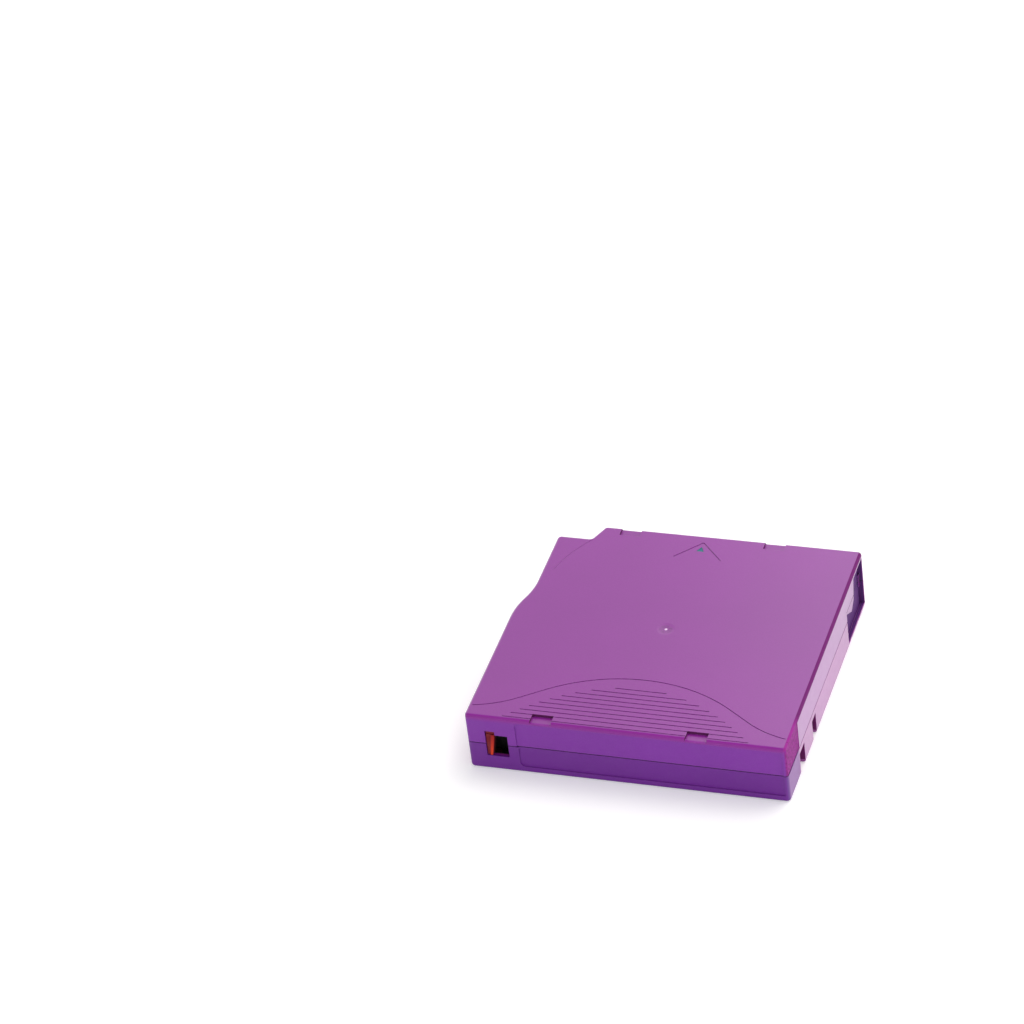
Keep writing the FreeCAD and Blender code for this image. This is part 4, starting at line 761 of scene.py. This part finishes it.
def coil_points(base, unit_a, unit_b, unit_c, radius, length, turns, wire):
    """Rings of points round a wire that winds up from the base along the third direction."""
    count = turns * COIL_STEPS
    points = []
    for step in range(count + 1):
        share = step / count
        angle = 2 * math.pi * turns * share
        outward = unit_a * math.cos(angle) + unit_b * math.sin(angle)
        forward = unit_b * math.cos(angle) - unit_a * math.sin(angle)
        forward = (forward * (2 * math.pi * radius * turns) + unit_c * length).normalized()
        aside = forward.cross(outward)
        middle = base + outward * radius + unit_c * (length * share)
        for side in range(WIRE_SIDES):
            turn = 2 * math.pi * side / WIRE_SIDES
            points.append(middle + (outward * math.cos(turn) + aside * math.sin(turn)) * wire)
    return points


def coil_faces(turns):
    """Two end caps, and the wire's sides from ring to ring."""
    count = turns * COIL_STEPS
    faces = [tuple(range(WIRE_SIDES - 1, -1, -1)),
             tuple(count * WIRE_SIDES + side for side in range(WIRE_SIDES))]
    for step in range(count):
        for side in range(WIRE_SIDES):
            beside = (side + 1) % WIRE_SIDES
            here = step * WIRE_SIDES
            there = here + WIRE_SIDES
            faces.append((here + side, here + beside, there + beside, there + side))
    return faces


def coil_spring(name, node, joint, seat, material, along, turns, wire, pressed, rise):
    """Coil spring in the place of a CAD spring."""
    low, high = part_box(node)
    first, second = [axis for axis in range(3) if axis != along]
    unit_a, unit_b, unit_c = Vector(), Vector(), Vector()
    unit_a[first] = 1.0
    unit_b[second] = 1.0
    unit_c[along] = 1.0
    centre = (low + high) / 2
    base = centre.copy()
    base[along] = low[along] + wire
    radius = (high[first] - low[first]) / 2 - wire
    length = high[along] - low[along] - 2 * wire
    points = coil_points(base, unit_a, unit_b, unit_c, radius, length, turns, wire)
    obj = add_mesh(name, points, coil_faces(turns), material)
    for polygon in obj.data.polygons:
        polygon.use_smooth = True
    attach(obj, "case")
    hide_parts(node)
    anchor = centre.copy()
    anchor[along] = low[along] if seat == "low" else high[along]
    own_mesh(obj)


# --- Studio ---

def floor():
    """Plain floor just under the object."""
    half = FLOOR_SIZE / 2
    z = cad_low.z - FLOOR_GAP
    points = [(-half, -half, z), (half, -half, z), (half, half, z), (-half, half, z)]
    obj = add_mesh("floor", points, [(0, 1, 2, 3)], floor_finish())


def softbox(name, place, size, power, colour, in_gloss=False):
    """A square lamp that faces the object; one that gloss shows is kept from the camera."""
    data = bpy.data.lights.new(name, "AREA")
    data.shape = "SQUARE"
    data.size = size
    data.energy = power
    data.color = colour
    obj = add_object(name, data)
    obj.rotation_euler = Vector(place).to_track_quat("Z", "Y").to_euler()
    obj.location = place
    obj.visible_glossy = in_gloss
    if in_gloss:
        obj.visible_camera = False


def studio():
    """Pale surroundings and the lamps."""
    world = bpy.data.worlds.new("world")
    world.use_nodes = True
    tree = world.node_tree
    direction = tree.nodes.new("ShaderNodeTexCoord").outputs["Generated"]
    parts = tree.nodes.new("ShaderNodeSeparateXYZ")
    tree.links.new(direction, parts.inputs[0])
    fade = tree.nodes.new("ShaderNodeMapRange")
    fade.inputs["From Min"].default_value, fade.inputs["From Max"].default_value = SKY_RISE
    fade.inputs["To Min"].default_value = HORIZON_LEVEL
    fade.inputs["To Max"].default_value = ZENITH_LEVEL
    tree.links.new(parts.outputs["Z"], fade.inputs["Value"])
    tree.links.new(fade.outputs["Result"], tree.nodes["Background"].inputs["Strength"])
    tree.nodes["Background"].inputs["Color"].default_value = SKY_COLOUR
    bpy.context.scene.world = world
    for name, lamp in LAMPS.items():
        softbox(name, **lamp)


# --- Assembly ---

def dress(node, material):
    """Gives a CAD node one material all over."""
    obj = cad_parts[node]
    obj.data.materials.clear()
    obj.data.materials.append(material)
    for polygon in obj.data.polygons:
        polygon.material_index = 0


def finishes():
    """Dresses every CAD node, and puts in the coil springs."""
    white = plain_plastic("hub_plastic", srgb(226, 226, 221))
    wire = steel("spring_steel", (0.55, 0.55, 0.56))
    chosen = {
        "upper_shell": case_plastic("case_plastic", CASE_COLOUR, LABEL_END_SHADE_COLOUR),
        # The lower shell's copy of the case plastic: painted light on its sides, painted shade on
        # its label end.
        "lower_shell": case_plastic("case_plastic_lower", LOWER_LIT_COLOUR, LOWER_LABEL_SHADE_COLOUR),
        "door": case_plastic("door_plastic", CASE_COLOUR, LABEL_END_SHADE_COLOUR),
        "write_protect_switch": switch_plastic("switch_plastic"),
        "reel_hub": white,
        "reel_upper_flange": white,
        "reel_clutch_plate": steel("plate_steel", (0.62, 0.62, 0.63)),
        "tape_pack": tape_film("tape_film"),
        "leader_tape": leader_film("leader_film"),
        "leader_pin": steel("pin_steel", (0.70, 0.70, 0.71), rough=0.2),
        "leader_pin_clamp": plain_plastic("clamp_plastic", srgb(48, 48, 52)),
        "pin_clip_lower": wire,
        "pin_clip_upper": wire,
        "brake_spring": wire,
        "door_spring": wire,
        "brake_button": plain_plastic("brake_plastic", srgb(214, 210, 196)),
        "brake_release_pad": plain_plastic("pad_plastic", srgb(196, 180, 138)),
        "case_screws": steel("screw_steel", (0.42, 0.42, 0.44), rough=0.34),
        "memory_board": plain_plastic("board_green", srgb(30, 98, 62), rough=0.3),
        "memory_die": plain_plastic("die_black", srgb(24, 24, 27), rough=0.36),
        "memory_antenna": steel("antenna_copper", (0.72, 0.42, 0.24)),
    }
    for node, material in chosen.items():
        dress(node, material)
    coil_spring("door_coil", "door_spring", "door_slide", "low", wire, **DOOR_SPRING)
    coil_spring("brake_coil", "brake_spring", "brake_lift", "high", wire, **BRAKE_SPRING)


camera()
floor()
studio()
finishes()
arrow_inlay()

scene = bpy.context.scene
scene.view_settings.view_transform = "Standard"
